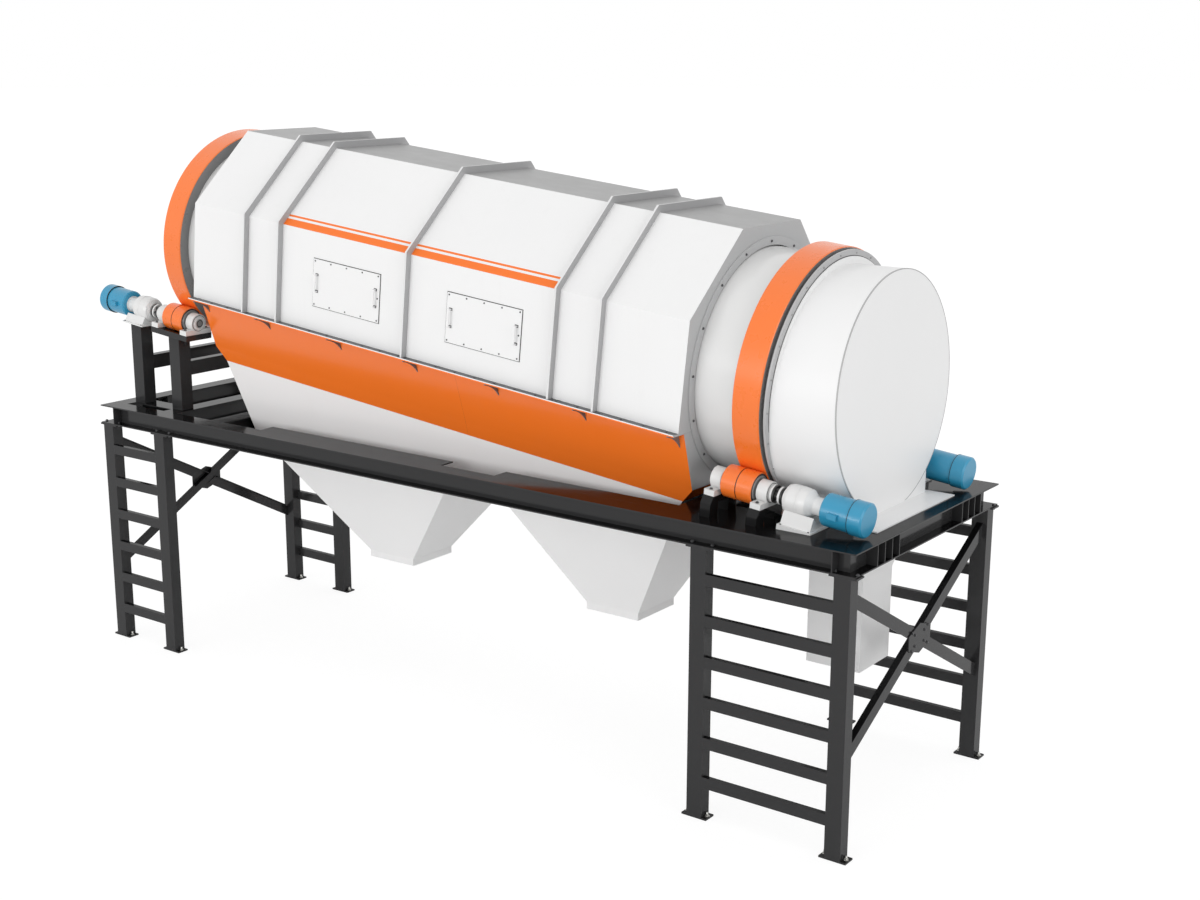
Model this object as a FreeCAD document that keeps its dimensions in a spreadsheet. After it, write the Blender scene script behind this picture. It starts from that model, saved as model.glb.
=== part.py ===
import FreeCAD, Part
import math
import os
from types import SimpleNamespace

import Sketcher
from FreeCAD import Placement, Rotation, Vector

# Rotary drum screen on a leg frame. Millimetres, +Z up, +X from the feed end to the discharge end.
# The origin is on the floor under the middle of the whole machine.
# Sloping parts use s along the drum axis (downhill), y across, and n square to both.

SIZES = [
    ("incline", 5.8, "slope of the drum axis in degrees"),
    ("drum_clearance", 326, "tyres' underside above the frame's top, at the middle"),
    ("frame_length", 9200, "top frame, outside"),
    ("frame_margin", 406.9, "frame's outside beyond the rollers' axes"),
    ("frame_top", 2630, "top of the frame above the floor"),
    ("beam_depth", 200, "wide-flange beam depth"),
    ("flange_width", 200, "wide-flange beam width"),
    ("flange_thick", 12, "beam flange"),
    ("web_thick", 8, "beam web"),
    ("feed_cross_x", -3700, "cross beam under the feed posts, from the frame's middle"),
    ("casing_feed_x", -2950, "cross beam at the feed end of the casing"),
    ("casing_out_x", 2800, "cross beam at the discharge end of the casing"),
    ("hood_cross_x", 3480, "shallow cross beam under the discharge tyre"),
    ("tyre_dip", 50, "how much lower the beam under the tyre lies"),
    ("stiffener_thick", 10, "web stiffener plate"),
    ("side_stiffener_inset", 210, "side beam stiffener from the frame's end"),
    ("stiffener_first", 600, "end beam stiffener nearest the middle"),
    ("stiffener_pitch", 126, "next stiffeners outwards"),
    ("stiffener_count", 4, "end beam stiffeners on each side of the middle"),
    ("ledge_width", 175, "plate along the inside of each side beam"),
    ("ledge_feed_start", -2300, "feed ledge starts here"),
    ("ledge_feed_end", 140, "feed ledge ends here"),
    ("ledge_out_start", 790, "discharge ledge starts here"),
    ("deck_lap", 30, "drive decks under the hood base flange"),
    ("leg_x", 150, "leg section along the machine"),
    ("leg_y", 125, "leg section across the machine"),
    ("leg_wall", 8, "leg wall"),
    ("outer_leg_inset", 110, "outer leg centre from the frame's end"),
    ("feed_leg_pitch", 827, "between the two feed-end legs"),
    ("out_leg_pitch", 1345, "between the two discharge-end legs"),
    ("foot_length", 250, "base and cap plate length"),
    ("foot_thick", 16, "base and cap plate thickness"),
    ("foot_hole_radius", 11, "anchor hole"),
    ("foot_hole_edge", 25, "anchor hole centre from the plate's end"),
    ("rung_depth", 100, "ladder rung height"),
    ("rung_width", 50, "ladder rung across"),
    ("rung_wall", 5, "ladder rung wall"),
    ("rung_headroom", 326, "underside of the highest rungs below the beams"),
    ("first_rung", 294, "underside of the lowest rung"),
    ("rung_count", 6, "rungs in a ladder"),
    ("brace_width", 110, "wide leg of the brace angle"),
    ("brace_lip", 60, "narrow leg of the brace angle"),
    ("brace_thick", 8, "brace angle thickness"),
    ("brace_drop", 215, "brace centre line below the beams at the upper end"),
    ("brace_low", 870, "brace centre line at the lower end"),
    ("gusset_half_y", 205, "brace gusset, half width"),
    ("gusset_half_z", 135, "brace gusset, half height"),
    ("post_x", 160, "feed post section along the machine"),
    ("post_y", 150, "feed post section across"),
    ("post_wall", 8, "feed post wall"),
    ("outer_post_x", -4340, "feed posts under the gear reducers"),
    ("inner_post_x", -3730, "feed posts under the rollers"),
    ("tie_depth", 150, "tie beam between the posts"),
    ("tie_width", 100, "tie beam across"),
    ("tie_rise", 360, "underside of the tie beams above the frame"),
    ("post_gusset", 110, "gusset between an inner post and its bearing base"),
    ("drum_radius", 1000, "drum outside radius"),
    ("drum_wall", 12, "drum shell"),
    ("screen_start", -3050, "feed end of the slotted section"),
    ("screen_end", 2750, "discharge end of the slotted section"),
    ("slot_length", 820, "screen slot length"),
    ("slot_width", 60, "screen slot width"),
    ("slot_rows", 6, "bays of slots along the drum"),
    ("slot_pairs", 10, "pairs of opposite slots round the drum"),
    ("flight_height", 150, "helical flight above the drum's inside"),
    ("flight_thick", 10, "helical flight thickness along the axis"),
    ("flight_pitch", 1800, "helical flight pitch"),
    ("tyre_height", 116, "tyres' running face outside the drum"),
    ("tyre_width", 260, "tyre width"),
    ("feed_tyre_gap", 275, "between the feed seal ring and its tyre"),
    ("feed_overhang", 45, "drum beyond the feed tyre"),
    ("out_tyre_gap", 436, "between the discharge seal ring and its tyre"),
    ("out_overhang", 24, "drum beyond the discharge tyre"),
    ("feed_roller_shift", 25, "feed rollers uphill of their tyre's centre"),
    ("out_roller_shift", 21, "discharge rollers uphill of their tyre's centre"),
    ("roller_angle", 49, "rollers from straight below the axis, degrees"),
    ("roller_radius", 140, "roller radius"),
    ("roller_groove", 8, "groove round the roller's middle, and its eased edges"),
    ("roller_width", 300, "roller width"),
    ("running_gap", 0.3, "clearance between running surfaces"),
    ("fit_gap", 0.15, "clearance of a seated round fit"),
    ("shaft_radius", 45, "roller shaft"),
    ("bearing_offset", 225, "bearing centre from the roller's centre"),
    ("bearing_width", 100, "bearing housing along the shaft"),
    ("bearing_radius", 95, "bearing housing outside radius"),
    ("bearing_base", 340, "bearing housing foot across the machine"),
    ("bearing_foot", 50, "bearing housing foot thickness"),
    ("shaft_height", 120, "roller axis above the bearings' base, square to the slope"),
    ("coupling_start", 290, "first coupling disc from the roller's centre"),
    ("coupling_disc", 38, "coupling disc thickness"),
    ("coupling_gap", 36, "between the coupling discs"),
    ("coupling_radius", 76, "coupling disc radius"),
    ("coupling_pin_radius", 8, "coupling pin"),
    ("coupling_pin_circle", 54, "coupling pins' circle radius"),
    ("coupling_pins", 6, "coupling pins"),
    ("reducer_start", 425, "reducer's near face from the roller's centre"),
    ("reducer_radius", 128, "reducer body radius"),
    ("reducer_body_end", 640, "reducer's full-size body ends"),
    ("reducer_neck", 76, "reducer neck radius"),
    ("motor_start", 790, "motor's near face from the roller's centre"),
    ("motor_radius", 138, "motor body radius"),
    ("cowl_start", 1050, "motor fan cowl starts"),
    ("cowl_radius", 148, "motor fan cowl radius"),
    ("cowl_edge", 14, "eased edge of the fan cowl"),
    ("motor_end", 1175, "motor's far end from the roller's centre"),
    ("box_length", 84, "terminal box along the motor"),
    ("box_height", 48, "terminal box height"),
    ("box_reach", 26, "terminal box outside the motor"),
    ("output_radius", 30, "reducer output shaft"),
    ("stub_length", 60, "output shaft inside the reducer"),
    ("saddle_offset", 600, "reducer saddle's middle from the roller's centre"),
    ("saddle_height", 167, "roller axis above the feed saddles' underside"),
    ("saddle_length", 320, "reducer saddle base along the shaft"),
    ("saddle_web", 280, "reducer saddle's cradle along the shaft"),
    ("saddle_width", 330, "reducer saddle base across"),
    ("saddle_plate", 14, "reducer saddle base plate"),
    ("saddle_top", 100, "half width of the cradle's top"),
    ("saddle_foot", 145, "half width of the cradle's foot"),
    ("cradle_depth", 60, "cradle's top below the roller axis"),
    ("base_depth", 60, "bearing base under the feed rollers"),
    ("base_member", 110, "bearing base member under a bearing"),
    ("base_rail", 40, "bearing base's side rails"),
    ("roller_clear", 10, "between a feed roller and the member under it"),
    ("pedestal_flare", 40, "discharge pedestal's foot beyond the bearing's foot"),
    ("pedestal_arch", 85, "half width of the opening under a pedestal"),
    ("pedestal_top", 60, "pedestal above its opening"),
    ("cover_lap", 120, "casing beyond the slotted section at each end"),
    ("cover_gap", 165, "upper cover's sides outside the drum"),
    ("roof_half", 480, "upper cover roof half width"),
    ("roof_gap", 190, "roof above the drum"),
    ("shoulder_height", 490, "top of the upright sides above the axis"),
    ("joint_drop", 490, "casing joint below the axis"),
    ("sheet_thick", 6, "casing sheet"),
    ("end_plate", 8, "casing end plates"),
    ("end_hole_gap", 20, "round the drum in the end plates"),
    ("lip_reach", 75, "joint flange outside the upper cover"),
    ("lip_thick", 10, "each joint flange"),
    ("body_gap", 80, "lower casing's top edge outside the drum"),
    ("body_low_half", 850, "lower casing half width under the end plates"),
    ("body_low_gap", 50, "end plates' lower edge below the drum"),
    ("skirt_half", 800, "trough half width"),
    ("skirt_gap", 190, "top of the trough below the drum"),
    ("skirt_inset", 115, "trough's top inside the end plates"),
    ("trough_feed_x", -2740, "trough's feed end at its bottom"),
    ("trough_out_x", 2500, "trough's discharge end at its bottom"),
    ("seat_thick", 12, "seat plate under the trough"),
    ("seat_lap", 40, "seat plate inside the trough's ends"),
    ("rib_thick", 20, "cover rib thickness"),
    ("rib_proud", 65, "cover rib outside the sheet"),
    ("joint_gusset_thick", 10, "small gussets under the joint flange"),
    ("joint_gusset_drop", 70, "small gusset depth"),
    ("joint_gusset_pitch", 969, "between the small gussets"),
    ("joint_gusset_count", 7, "small gussets on each side"),
    ("ring_inner_gap", 8, "seal ring round the drum"),
    ("ring_reach", 85, "seal ring's edge outside the drum"),
    ("ring_thick", 10, "seal ring thickness"),
    ("door_length", 872, "access cover length"),
    ("door_height", 465, "access cover height"),
    ("door_thick", 8, "access cover thickness"),
    ("door_lap", 45, "access cover lap round its opening"),
    ("feed_door_s", -1013, "first access cover's centre"),
    ("out_door_s", 697, "second access cover's centre"),
    ("handle_length", 155, "handle between its legs"),
    ("handle_width", 26, "handle's flat bar"),
    ("handle_thick", 8, "handle's flat bar thickness"),
    ("handle_reach", 42, "handle's outside from the cover"),
    ("handle_inset", 50, "handle from the cover's end"),
    ("collar_bottom", 1203, "bottom of the hopper outlets"),
    ("collar_height", 70, "hopper outlet collar"),
    ("collar_half", 300, "hopper outlet half width, outside"),
    ("feed_collar_x", -1330, "first hopper outlet's centre"),
    ("out_collar_x", 1510, "second hopper outlet's centre"),
    ("hopper_half", 730, "hopper half width at the top"),
    ("feed_hopper_start", -2800, "first hopper's feed end at the top"),
    ("feed_hopper_end", -80, "first hopper's discharge end at the top"),
    ("out_hopper_start", 340, "second hopper's feed end at the top"),
    ("out_hopper_end", 2500, "second hopper's discharge end at the top"),
    ("hood_gap", 34, "discharge hood outside the drum's radius"),
    ("hood_drop", 63, "hood's centre below the drum axis at the drum's end"),
    ("hood_face_x", 4210, "discharge hood's end plate, outside"),
    ("hood_ring_gap", 6, "between the drum's end and the hood ring"),
    ("hood_ring_thick", 34, "hood ring thickness"),
    ("hood_ring_lap", 60, "hood ring inside the drum's radius"),
    ("hood_ring_reach", 45, "hood ring outside the drum's radius"),
    ("hood_base_half", 660, "hood base half width"),
    ("hood_base_start", 3590, "hood base's feed side"),
    ("hood_flange_reach", 70, "hood base flange outside its walls"),
    ("hood_flange_start", 3500, "hood base flange's feed side"),
    ("hood_flange_end", 4460, "hood base flange's discharge side"),
    ("chute_start", 3594, "oversize chute's feed side"),
    ("chute_end", 4116, "oversize chute's discharge side"),
    ("chute_half", 270, "oversize chute half width"),
    ("chute_bottom", 1207, "oversize chute's mouth above the floor"),
    ("chute_flare", 590, "height of the oversize chute's flared top"),
    ("rim_reach", 40, "hopper rim outside its walls"),
    ("rim_thick", 8, "hopper rim thickness"),
]

doc = FreeCAD.newDocument("rotary_drum_screen")
sheet = doc.addObject("Spreadsheet::Sheet", "sizes")
for row, (alias, number, meaning) in enumerate(SIZES, 1):
    sheet.set(f"A{row}", alias)
    sheet.set(f"B{row}", str(number))
    sheet.set(f"C{row}", meaning)
    sheet.setAlias(f"B{row}", alias)
doc.recompute()

z = SimpleNamespace(**{alias: float(sheet.get(alias)) for alias, _, _ in SIZES})
SLOPE = math.radians(z.incline)
COS, SIN = math.cos(SLOPE), math.sin(SLOPE)
UP, ALONG, ACROSS = Vector(0, 0, 1), Vector(1, 0, 0), Vector(0, 1, 0)

# Lengths that follow from the sizes, as expressions for the sheet-bound features
TILT = "(sizes.incline * 1 deg)"
TYRE_RADIUS = "(sizes.drum_radius + sizes.tyre_height)"
REACH = f"({TYRE_RADIUS} + sizes.running_gap + sizes.roller_radius)"
ROLLER_Y = f"({REACH} * sin(sizes.roller_angle * 1 deg))"
ROLLER_DROP = f"({REACH} * cos(sizes.roller_angle * 1 deg))"
AXIS_HEIGHT = f"(sizes.frame_top + {TYRE_RADIUS} + sizes.drum_clearance)"
FRAME_WIDTH = f"(2 * {ROLLER_Y} + 2 * sizes.frame_margin)"
BEAM_BOTTOM = "(sizes.frame_top - sizes.beam_depth)"
COVER_HALF = "(sizes.drum_radius + sizes.cover_gap)"
COVER_START = "(sizes.screen_start - sizes.cover_lap)"
COVER_END = "(sizes.screen_end + sizes.cover_lap)"
FEED_TYRE = f"({COVER_START} - sizes.ring_thick - sizes.feed_tyre_gap - sizes.tyre_width / 2)"
OUT_TYRE = f"({COVER_END} + sizes.ring_thick + sizes.out_tyre_gap + sizes.tyre_width / 2)"
DRUM_START = f"({FEED_TYRE} - sizes.tyre_width / 2 - sizes.feed_overhang)"
DRUM_END = f"({OUT_TYRE} + sizes.tyre_width / 2 + sizes.out_overhang)"
FEED_ROLLER = f"({FEED_TYRE} - sizes.feed_roller_shift)"
OUT_ROLLER = f"({OUT_TYRE} - sizes.out_roller_shift)"
DRIVE_REACH = f"((sizes.motor_end - {FEED_ROLLER}) * cos({TILT}))"
DRIVE_LEAN = f"(({ROLLER_DROP} + sizes.cowl_radius - sizes.cowl_edge) * sin({TILT}))"
MID = f"(({DRIVE_REACH} + {DRIVE_LEAN} - sizes.frame_length / 2) / 2)"


def value(expression):
    """The number that an expression of the sheet's sizes gives."""
    return float(sheet.evalExpression(expression))


z.tyre_radius = value(TYRE_RADIUS)
z.axis_height = value(AXIS_HEIGHT)
z.frame_width = value(FRAME_WIDTH)
z.cover_half = value(COVER_HALF)
z.cover_start, z.cover_end = value(COVER_START), value(COVER_END)
z.drum_end = value(DRUM_END)
z.feed_roller_s, z.out_roller_s = value(FEED_ROLLER), value(OUT_ROLLER)
MID_X = value(MID)
ROLLER = Vector(0, value(ROLLER_Y), -value(ROLLER_DROP))
DRIVES = [(s, out, side) for s, out in ((z.feed_roller_s, -1), (z.out_roller_s, 1)) for side in (-1, 1)]
SLOPED = Placement(Vector(MID_X, 0, z.axis_height), Rotation(ACROSS, z.incline))
LEVEL = Placement(Vector(MID_X, 0, 0), Rotation())

subparts = []


def keep(feature, label):
    """Label a feature as one of the machine's sub-parts."""
    feature.Label = label
    subparts.append(feature)
    return feature


# Sketches and features of the sheet-bound bodies


def new_body(name):
    return doc.addObject("PartDesign::Body", name)


def origin_feature(body, role):
    return next(f for f in body.Origin.OriginFeatures if f.Role == role)


def sketch_on(body, name, role):
    sketch = body.newObject("Sketcher::SketchObject", name)
    sketch.AttachmentSupport = [(origin_feature(body, role), "")]
    sketch.MapMode = "FlatFace"
    return sketch


def add_loop(sketch, points):
    """A closed loop of straight edges whose corners are pairs of expressions."""
    first = sketch.GeometryCount
    corners = [(value(x), value(y)) for x, y in points]
    count = len(points)
    for i in range(count):
        here, there = corners[i], corners[(i + 1) % count]
        sketch.addGeometry(Part.LineSegment(Vector(*here, 0), Vector(*there, 0)), False)
    for i in range(count):
        following = first + (i + 1) % count
        sketch.addConstraint(Sketcher.Constraint("Coincident", first + i, 2, following, 1))
    for i, (point, corner) in enumerate(zip(points, corners)):
        for kind, number, expression in zip(("DistanceX", "DistanceY"), corner, point):
            index = sketch.addConstraint(Sketcher.Constraint(kind, -1, 1, first + i, 1, number))
            sketch.setExpression(f"Constraints[{index}]", expression)


def add_circle(sketch, x, y, radius):
    """A circle whose centre and radius are expressions."""
    centre = Vector(value(x), value(y), 0)
    index = sketch.addGeometry(Part.Circle(centre, UP, value(radius)), False)
    for kind, number, expression in (("DistanceX", centre.x, x), ("DistanceY", centre.y, y)):
        at = sketch.addConstraint(Sketcher.Constraint(kind, -1, 1, index, 3, number))
        sketch.setExpression(f"Constraints[{at}]", expression)
    at = sketch.addConstraint(Sketcher.Constraint("Radius", index, value(radius)))
    sketch.setExpression(f"Constraints[{at}]", radius)


def rectangle(width, height, x="0", y="0"):
    """Corners of a rectangle round a centre, all as expressions."""
    left, right = f"{x} - ({width}) / 2", f"{x} + ({width}) / 2"
    low, high = f"{y} - ({height}) / 2", f"{y} + ({height}) / 2"
    return [(left, low), (right, low), (right, high), (left, high)]


def add_pad(body, sketch, length, backwards=False):
    pad = body.newObject("PartDesign::Pad", f"{body.Name}_pad")
    pad.Profile = sketch
    pad.Reversed = backwards
    pad.setExpression("Length", length)
    doc.recompute()
    return pad


def add_pocket(body, sketch, backwards=False):
    """A pocket right through the body; it has to remove material."""
    before = body.Shape.Volume
    pocket = body.newObject("PartDesign::Pocket", f"{body.Name}_pocket")
    pocket.Profile = sketch
    pocket.Type = "ThroughAll"
    pocket.Reversed = backwards
    doc.recompute()
    if body.Shape.Volume >= before:
        raise ValueError(f"{body.Name}: a pocket cuts nothing")
    return pocket


def add_turning(body, sketch):
    turning = body.newObject("PartDesign::Revolution", f"{body.Name}_turning")
    turning.Profile = sketch
    turning.ReferenceAxis = (origin_feature(body, "X_Axis"), [""])
    turning.Angle = 360
    doc.recompute()
    return turning


def stand(feature, x="0", y="0", height="0", turn=0):
    """Place a body in the level frame, turned about the upright axis."""
    feature.Placement = Placement(Vector(), Rotation(UP, turn))
    feature.setExpression("Placement.Base.x", f"{MID} + ({x})")
    feature.setExpression("Placement.Base.y", y)
    feature.setExpression("Placement.Base.z", height)


def lay(feature, s="0", y="0", n="0"):
    """Place a body in the sloping frame of the drum."""
    feature.Placement = Placement(Vector(), Rotation(ACROSS, z.incline))
    feature.setExpression("Placement.Rotation.Angle", "sizes.incline")
    feature.setExpression("Placement.Base.x", f"{MID} + ({s}) * cos({TILT}) + ({n}) * sin({TILT})")
    feature.setExpression("Placement.Base.y", y)
    feature.setExpression("Placement.Base.z", f"{AXIS_HEIGHT} - ({s}) * sin({TILT}) + ({n}) * cos({TILT})")


# Shapes for the pieces that are set from the sheet in code


def add_shape(label, solids, frame=LEVEL):
    """A sub-part of one or more solids, modelled in the level or the sloping frame."""
    feature = doc.addObject("Part::Feature", label)
    feature.Shape = solids[0] if len(solids) == 1 else Part.makeCompound(solids)
    feature.Placement = frame.multiply(feature.Shape.Placement)
    return keep(feature, label)


def block(x0, x1, y0, y1, z0, z1):
    low = Vector(min(x0, x1), min(y0, y1), min(z0, z1))
    return Part.makeBox(abs(x1 - x0), abs(y1 - y0), abs(z1 - z0), low)


def prism(points, along):
    """A flat outline pushed along a vector."""
    wire = Part.makePolygon(points + points[:1])
    return Part.Face(wire).extrude(along)


def copies(shape, places):
    """The same solid at several placements."""
    result = []
    for place in places:
        copy = shape.copy()
        copy.Placement = place.multiply(copy.Placement)
        result.append(copy)
    return result


def rod(start, end, radius):
    return Part.makeCylinder(radius, start.distanceToPoint(end), start, end - start)


def level_in_slope(x, height):
    """A point of the level frame, in the sloping frame's own coordinates."""
    return Vector(x * COS - (height - z.axis_height) * SIN, 0, x * SIN + (height - z.axis_height) * COS)


def above_level(shape, height):
    """What lies above a level plane of a shape modelled in the sloping frame."""
    reach = 2 * z.frame_length
    big = block(-reach, reach, -reach, reach, height, height + reach)
    big.Placement = SLOPED.inverse().multiply(LEVEL)
    return shape.common(big)


def below_slope(shape, n):
    """What lies below a sloping plane of a shape modelled in the level frame."""
    reach = 2 * z.frame_length
    big = block(-reach, reach, -reach, reach, n - reach, n)
    big.Placement = LEVEL.inverse().multiply(SLOPED)
    return shape.common(big)


# Top frame


def wide_flange(body, depth="sizes.beam_depth"):
    half, web = "sizes.flange_width / 2", "sizes.web_thick / 2"
    low, high = "sizes.flange_thick", f"{depth} - sizes.flange_thick"
    top = depth
    right = [(half, "0"), (half, low), (web, low), (web, high), (half, high), (half, top)]
    left = [(f"-{x}", y) for x, y in reversed(right)]
    sketch = sketch_on(body, f"{body.Name}_profile", "YZ_Plane")
    add_loop(sketch, right + left)
    return sketch


def frame_beam(label, length, x, y, turn):
    """A wide-flange beam with both ends mitred towards its inner side."""
    body = new_body(label)
    add_pad(body, wide_flange(body), length)
    half, whole = "sizes.flange_width / 2", "sizes.flange_width"
    near = [("0", f"-{half}"), (whole, half), ("0", half)]
    far = [(length, f"-{half}"), (length, half), (f"{length} - {whole}", half)]
    for name, corners in (("near", near), ("far", far)):
        cut = sketch_on(body, f"{label}_{name}_mitre", "XY_Plane")
        add_loop(cut, corners)
        add_pocket(body, cut, backwards=True)
    stand(body, x, y, BEAM_BOTTOM, turn)
    return keep(body, label)


HALF_LENGTH, HALF_WIDTH = "sizes.frame_length / 2", f"{FRAME_WIDTH} / 2"
HALF_FLANGE = "sizes.flange_width / 2"
frame_beam("side_beam_front", "sizes.frame_length", f"-{HALF_LENGTH}", f"-{HALF_WIDTH} + {HALF_FLANGE}", 0)
frame_beam("side_beam_back", "sizes.frame_length", HALF_LENGTH, f"{HALF_WIDTH} - {HALF_FLANGE}", 180)
frame_beam("end_beam_discharge", FRAME_WIDTH, f"{HALF_LENGTH} - {HALF_FLANGE}", f"-{HALF_WIDTH}", 90)
frame_beam("end_beam_feed", FRAME_WIDTH, f"-{HALF_LENGTH} + {HALF_FLANGE}", HALF_WIDTH, 270)

cross_beam = new_body("cross_beam_pattern")
add_pad(cross_beam, wide_flange(cross_beam), f"{FRAME_WIDTH} - 2 * sizes.flange_width")
low_beam = new_body("low_cross_beam_pattern")
low_section = wide_flange(low_beam, "(sizes.beam_depth - sizes.tyre_dip)")
add_pad(low_beam, low_section, f"{FRAME_WIDTH} - 2 * sizes.flange_width")
stringer = new_body("stringer_pattern")
stringer_length = "sizes.feed_cross_x + sizes.frame_length / 2 - 1.5 * sizes.flange_width"
add_pad(stringer, wide_flange(stringer), stringer_length)
doc.recompute()

beam_bottom = z.frame_top - z.beam_depth
inner_edge = z.frame_width / 2 - z.flange_width
across = Rotation(UP, 90)


def cross_places(xs):
    return [Placement(Vector(x, -inner_edge, beam_bottom), across) for x in xs]


full_beams = copies(cross_beam.Shape, cross_places((z.feed_cross_x, z.casing_feed_x, z.casing_out_x)))
add_shape("cross_beams", full_beams + copies(low_beam.Shape, cross_places((z.hood_cross_x,))))
stringer_start = -z.frame_length / 2 + z.flange_width
stringer_places = [
    Placement(Vector(stringer_start, side * ROLLER.y, beam_bottom), Rotation()) for side in (-1, 1)
]
add_shape("feed_stringers", copies(stringer.Shape, stringer_places))


def web_stiffeners():
    """Plates between the flanges, on both sides of the frame beams' webs."""
    low, high = beam_bottom + z.flange_thick, z.frame_top - z.flange_thick
    near, far = z.web_thick / 2, z.flange_width / 2
    half = z.stiffener_thick / 2
    plates = []
    for end in (-1, 1):
        beam_x = end * (z.frame_length - z.flange_width) / 2
        for side in (-1, 1):
            for i in range(round(z.stiffener_count)):
                y = side * (z.stiffener_first + i * z.stiffener_pitch)
                for face in (-1, 1):
                    if face == -end and abs(abs(y) - ROLLER.y) < z.flange_width:
                        continue
                    x0, x1 = beam_x + face * near, beam_x + face * far
                    plates.append(block(x0, x1, y - half, y + half, low, high))
            x = end * (z.frame_length / 2 - z.side_stiffener_inset)
            beam_y = side * (z.frame_width - z.flange_width) / 2
            y0, y1 = beam_y + side * near, beam_y + side * far
            plates.append(block(x - half, x + half, y0, y1, low, high))
    return plates


add_shape("web_stiffeners", web_stiffeners())


def flush_plates(spans, width):
    """Plates level with the frame's top, inside both side beams."""
    low = z.frame_top - z.flange_thick
    return [
        block(start, end, side * inner_edge, side * (inner_edge - width), low, z.frame_top)
        for start, end in spans
        for side in (-1, 1)
    ]


half_flange = z.flange_width / 2
ledge_out_end = z.casing_out_x - half_flange
ledge_spans = [(z.ledge_feed_start, z.ledge_feed_end), (z.ledge_out_start, ledge_out_end)]
add_shape("support_ledges", flush_plates(ledge_spans, z.ledge_width))
deck_span = (z.casing_out_x + half_flange, z.frame_length / 2 - z.flange_width)
hood_flange_half = z.hood_base_half + z.hood_flange_reach
deck_width = inner_edge - hood_flange_half + z.deck_lap
add_shape("drive_decks", flush_plates([deck_span], deck_width))

seat_bottom = beam_bottom + z.flange_thick
seat_top = seat_bottom + z.seat_thick
seat_start, seat_end = z.casing_feed_x + half_flange, z.casing_out_x - half_flange
seat_half = z.frame_width / 2 - half_flange - z.web_thick
seat = block(seat_start, seat_end, -seat_half, seat_half, seat_bottom, seat_top)
feed_way = (z.trough_feed_x + z.seat_lap, z.feed_hopper_end)
out_way = (z.out_hopper_start, z.trough_out_x - z.seat_lap)
for start, end in (feed_way, out_way):
    hole = block(start, end, -z.hopper_half, z.hopper_half, seat_bottom, seat_top)
    seat = seat.cut(hole)
add_shape("casing_seat_plate", [seat])

# Legs, plates and ladders

leg = new_body("leg_pattern")
leg_sketch = sketch_on(leg, "leg_section", "XY_Plane")
add_loop(leg_sketch, rectangle("sizes.leg_x", "sizes.leg_y"))
add_loop(leg_sketch, rectangle("sizes.leg_x - 2 * sizes.leg_wall", "sizes.leg_y - 2 * sizes.leg_wall"))
add_pad(leg, leg_sketch, f"{BEAM_BOTTOM} - 2 * sizes.foot_thick")

base_plate = new_body("base_plate_pattern")
base_sketch = sketch_on(base_plate, "base_outline", "XY_Plane")
add_loop(base_sketch, rectangle("sizes.foot_length", "sizes.leg_y"))
for sign in ("-", ""):
    hole_x = f"{sign}(sizes.foot_length / 2 - sizes.foot_hole_edge)"
    add_circle(base_sketch, hole_x, "0", "sizes.foot_hole_radius")
add_pad(base_plate, base_sketch, "sizes.foot_thick")

outer_leg = z.frame_length / 2 - z.outer_leg_inset
feed_leg_xs = (-outer_leg, -outer_leg + z.feed_leg_pitch)
out_leg_xs = (outer_leg - z.out_leg_pitch, outer_leg)
leg_ys = [side * (z.frame_width - z.leg_y) / 2 for side in (-1, 1)]


def at_legs(xs, height):
    return [Placement(Vector(x, y, height), Rotation()) for x in xs for y in leg_ys]


every_leg = feed_leg_xs + out_leg_xs
add_shape("frame_legs", copies(leg.Shape, at_legs(every_leg, z.foot_thick)))
add_shape("base_plates", copies(base_plate.Shape, at_legs(every_leg, 0)))
half_foot = z.foot_length / 2
cap = block(-half_foot, half_foot, -z.leg_y / 2, z.leg_y / 2, 0, z.foot_thick)
add_shape("cap_plates", copies(cap, at_legs(every_leg, beam_bottom - z.foot_thick)))


def ladder_rungs(xs):
    """Hollow rungs between two legs, flush with the legs' outer faces."""
    start, end = xs[0] + z.leg_x / 2, xs[1] - z.leg_x / 2
    wall = z.rung_wall
    pitch = (beam_bottom - z.rung_headroom - z.first_rung) / (z.rung_count - 1)
    rungs = []
    for side in (-1, 1):
        outer = side * z.frame_width / 2
        inner = outer - side * z.rung_width
        for i in range(round(z.rung_count)):
            low = z.first_rung + i * pitch
            high = low + z.rung_depth
            tube = block(start, end, outer, inner, low, high)
            bore = block(start, end, outer - side * wall, inner + side * wall, low + wall, high - wall)
            rungs.append(tube.cut(bore))
    return rungs


add_shape("ladder_rungs", ladder_rungs(feed_leg_xs) + ladder_rungs(out_leg_xs))


brace_high = beam_bottom - z.brace_drop
brace_centre = (brace_high + z.brace_low) / 2


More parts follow.
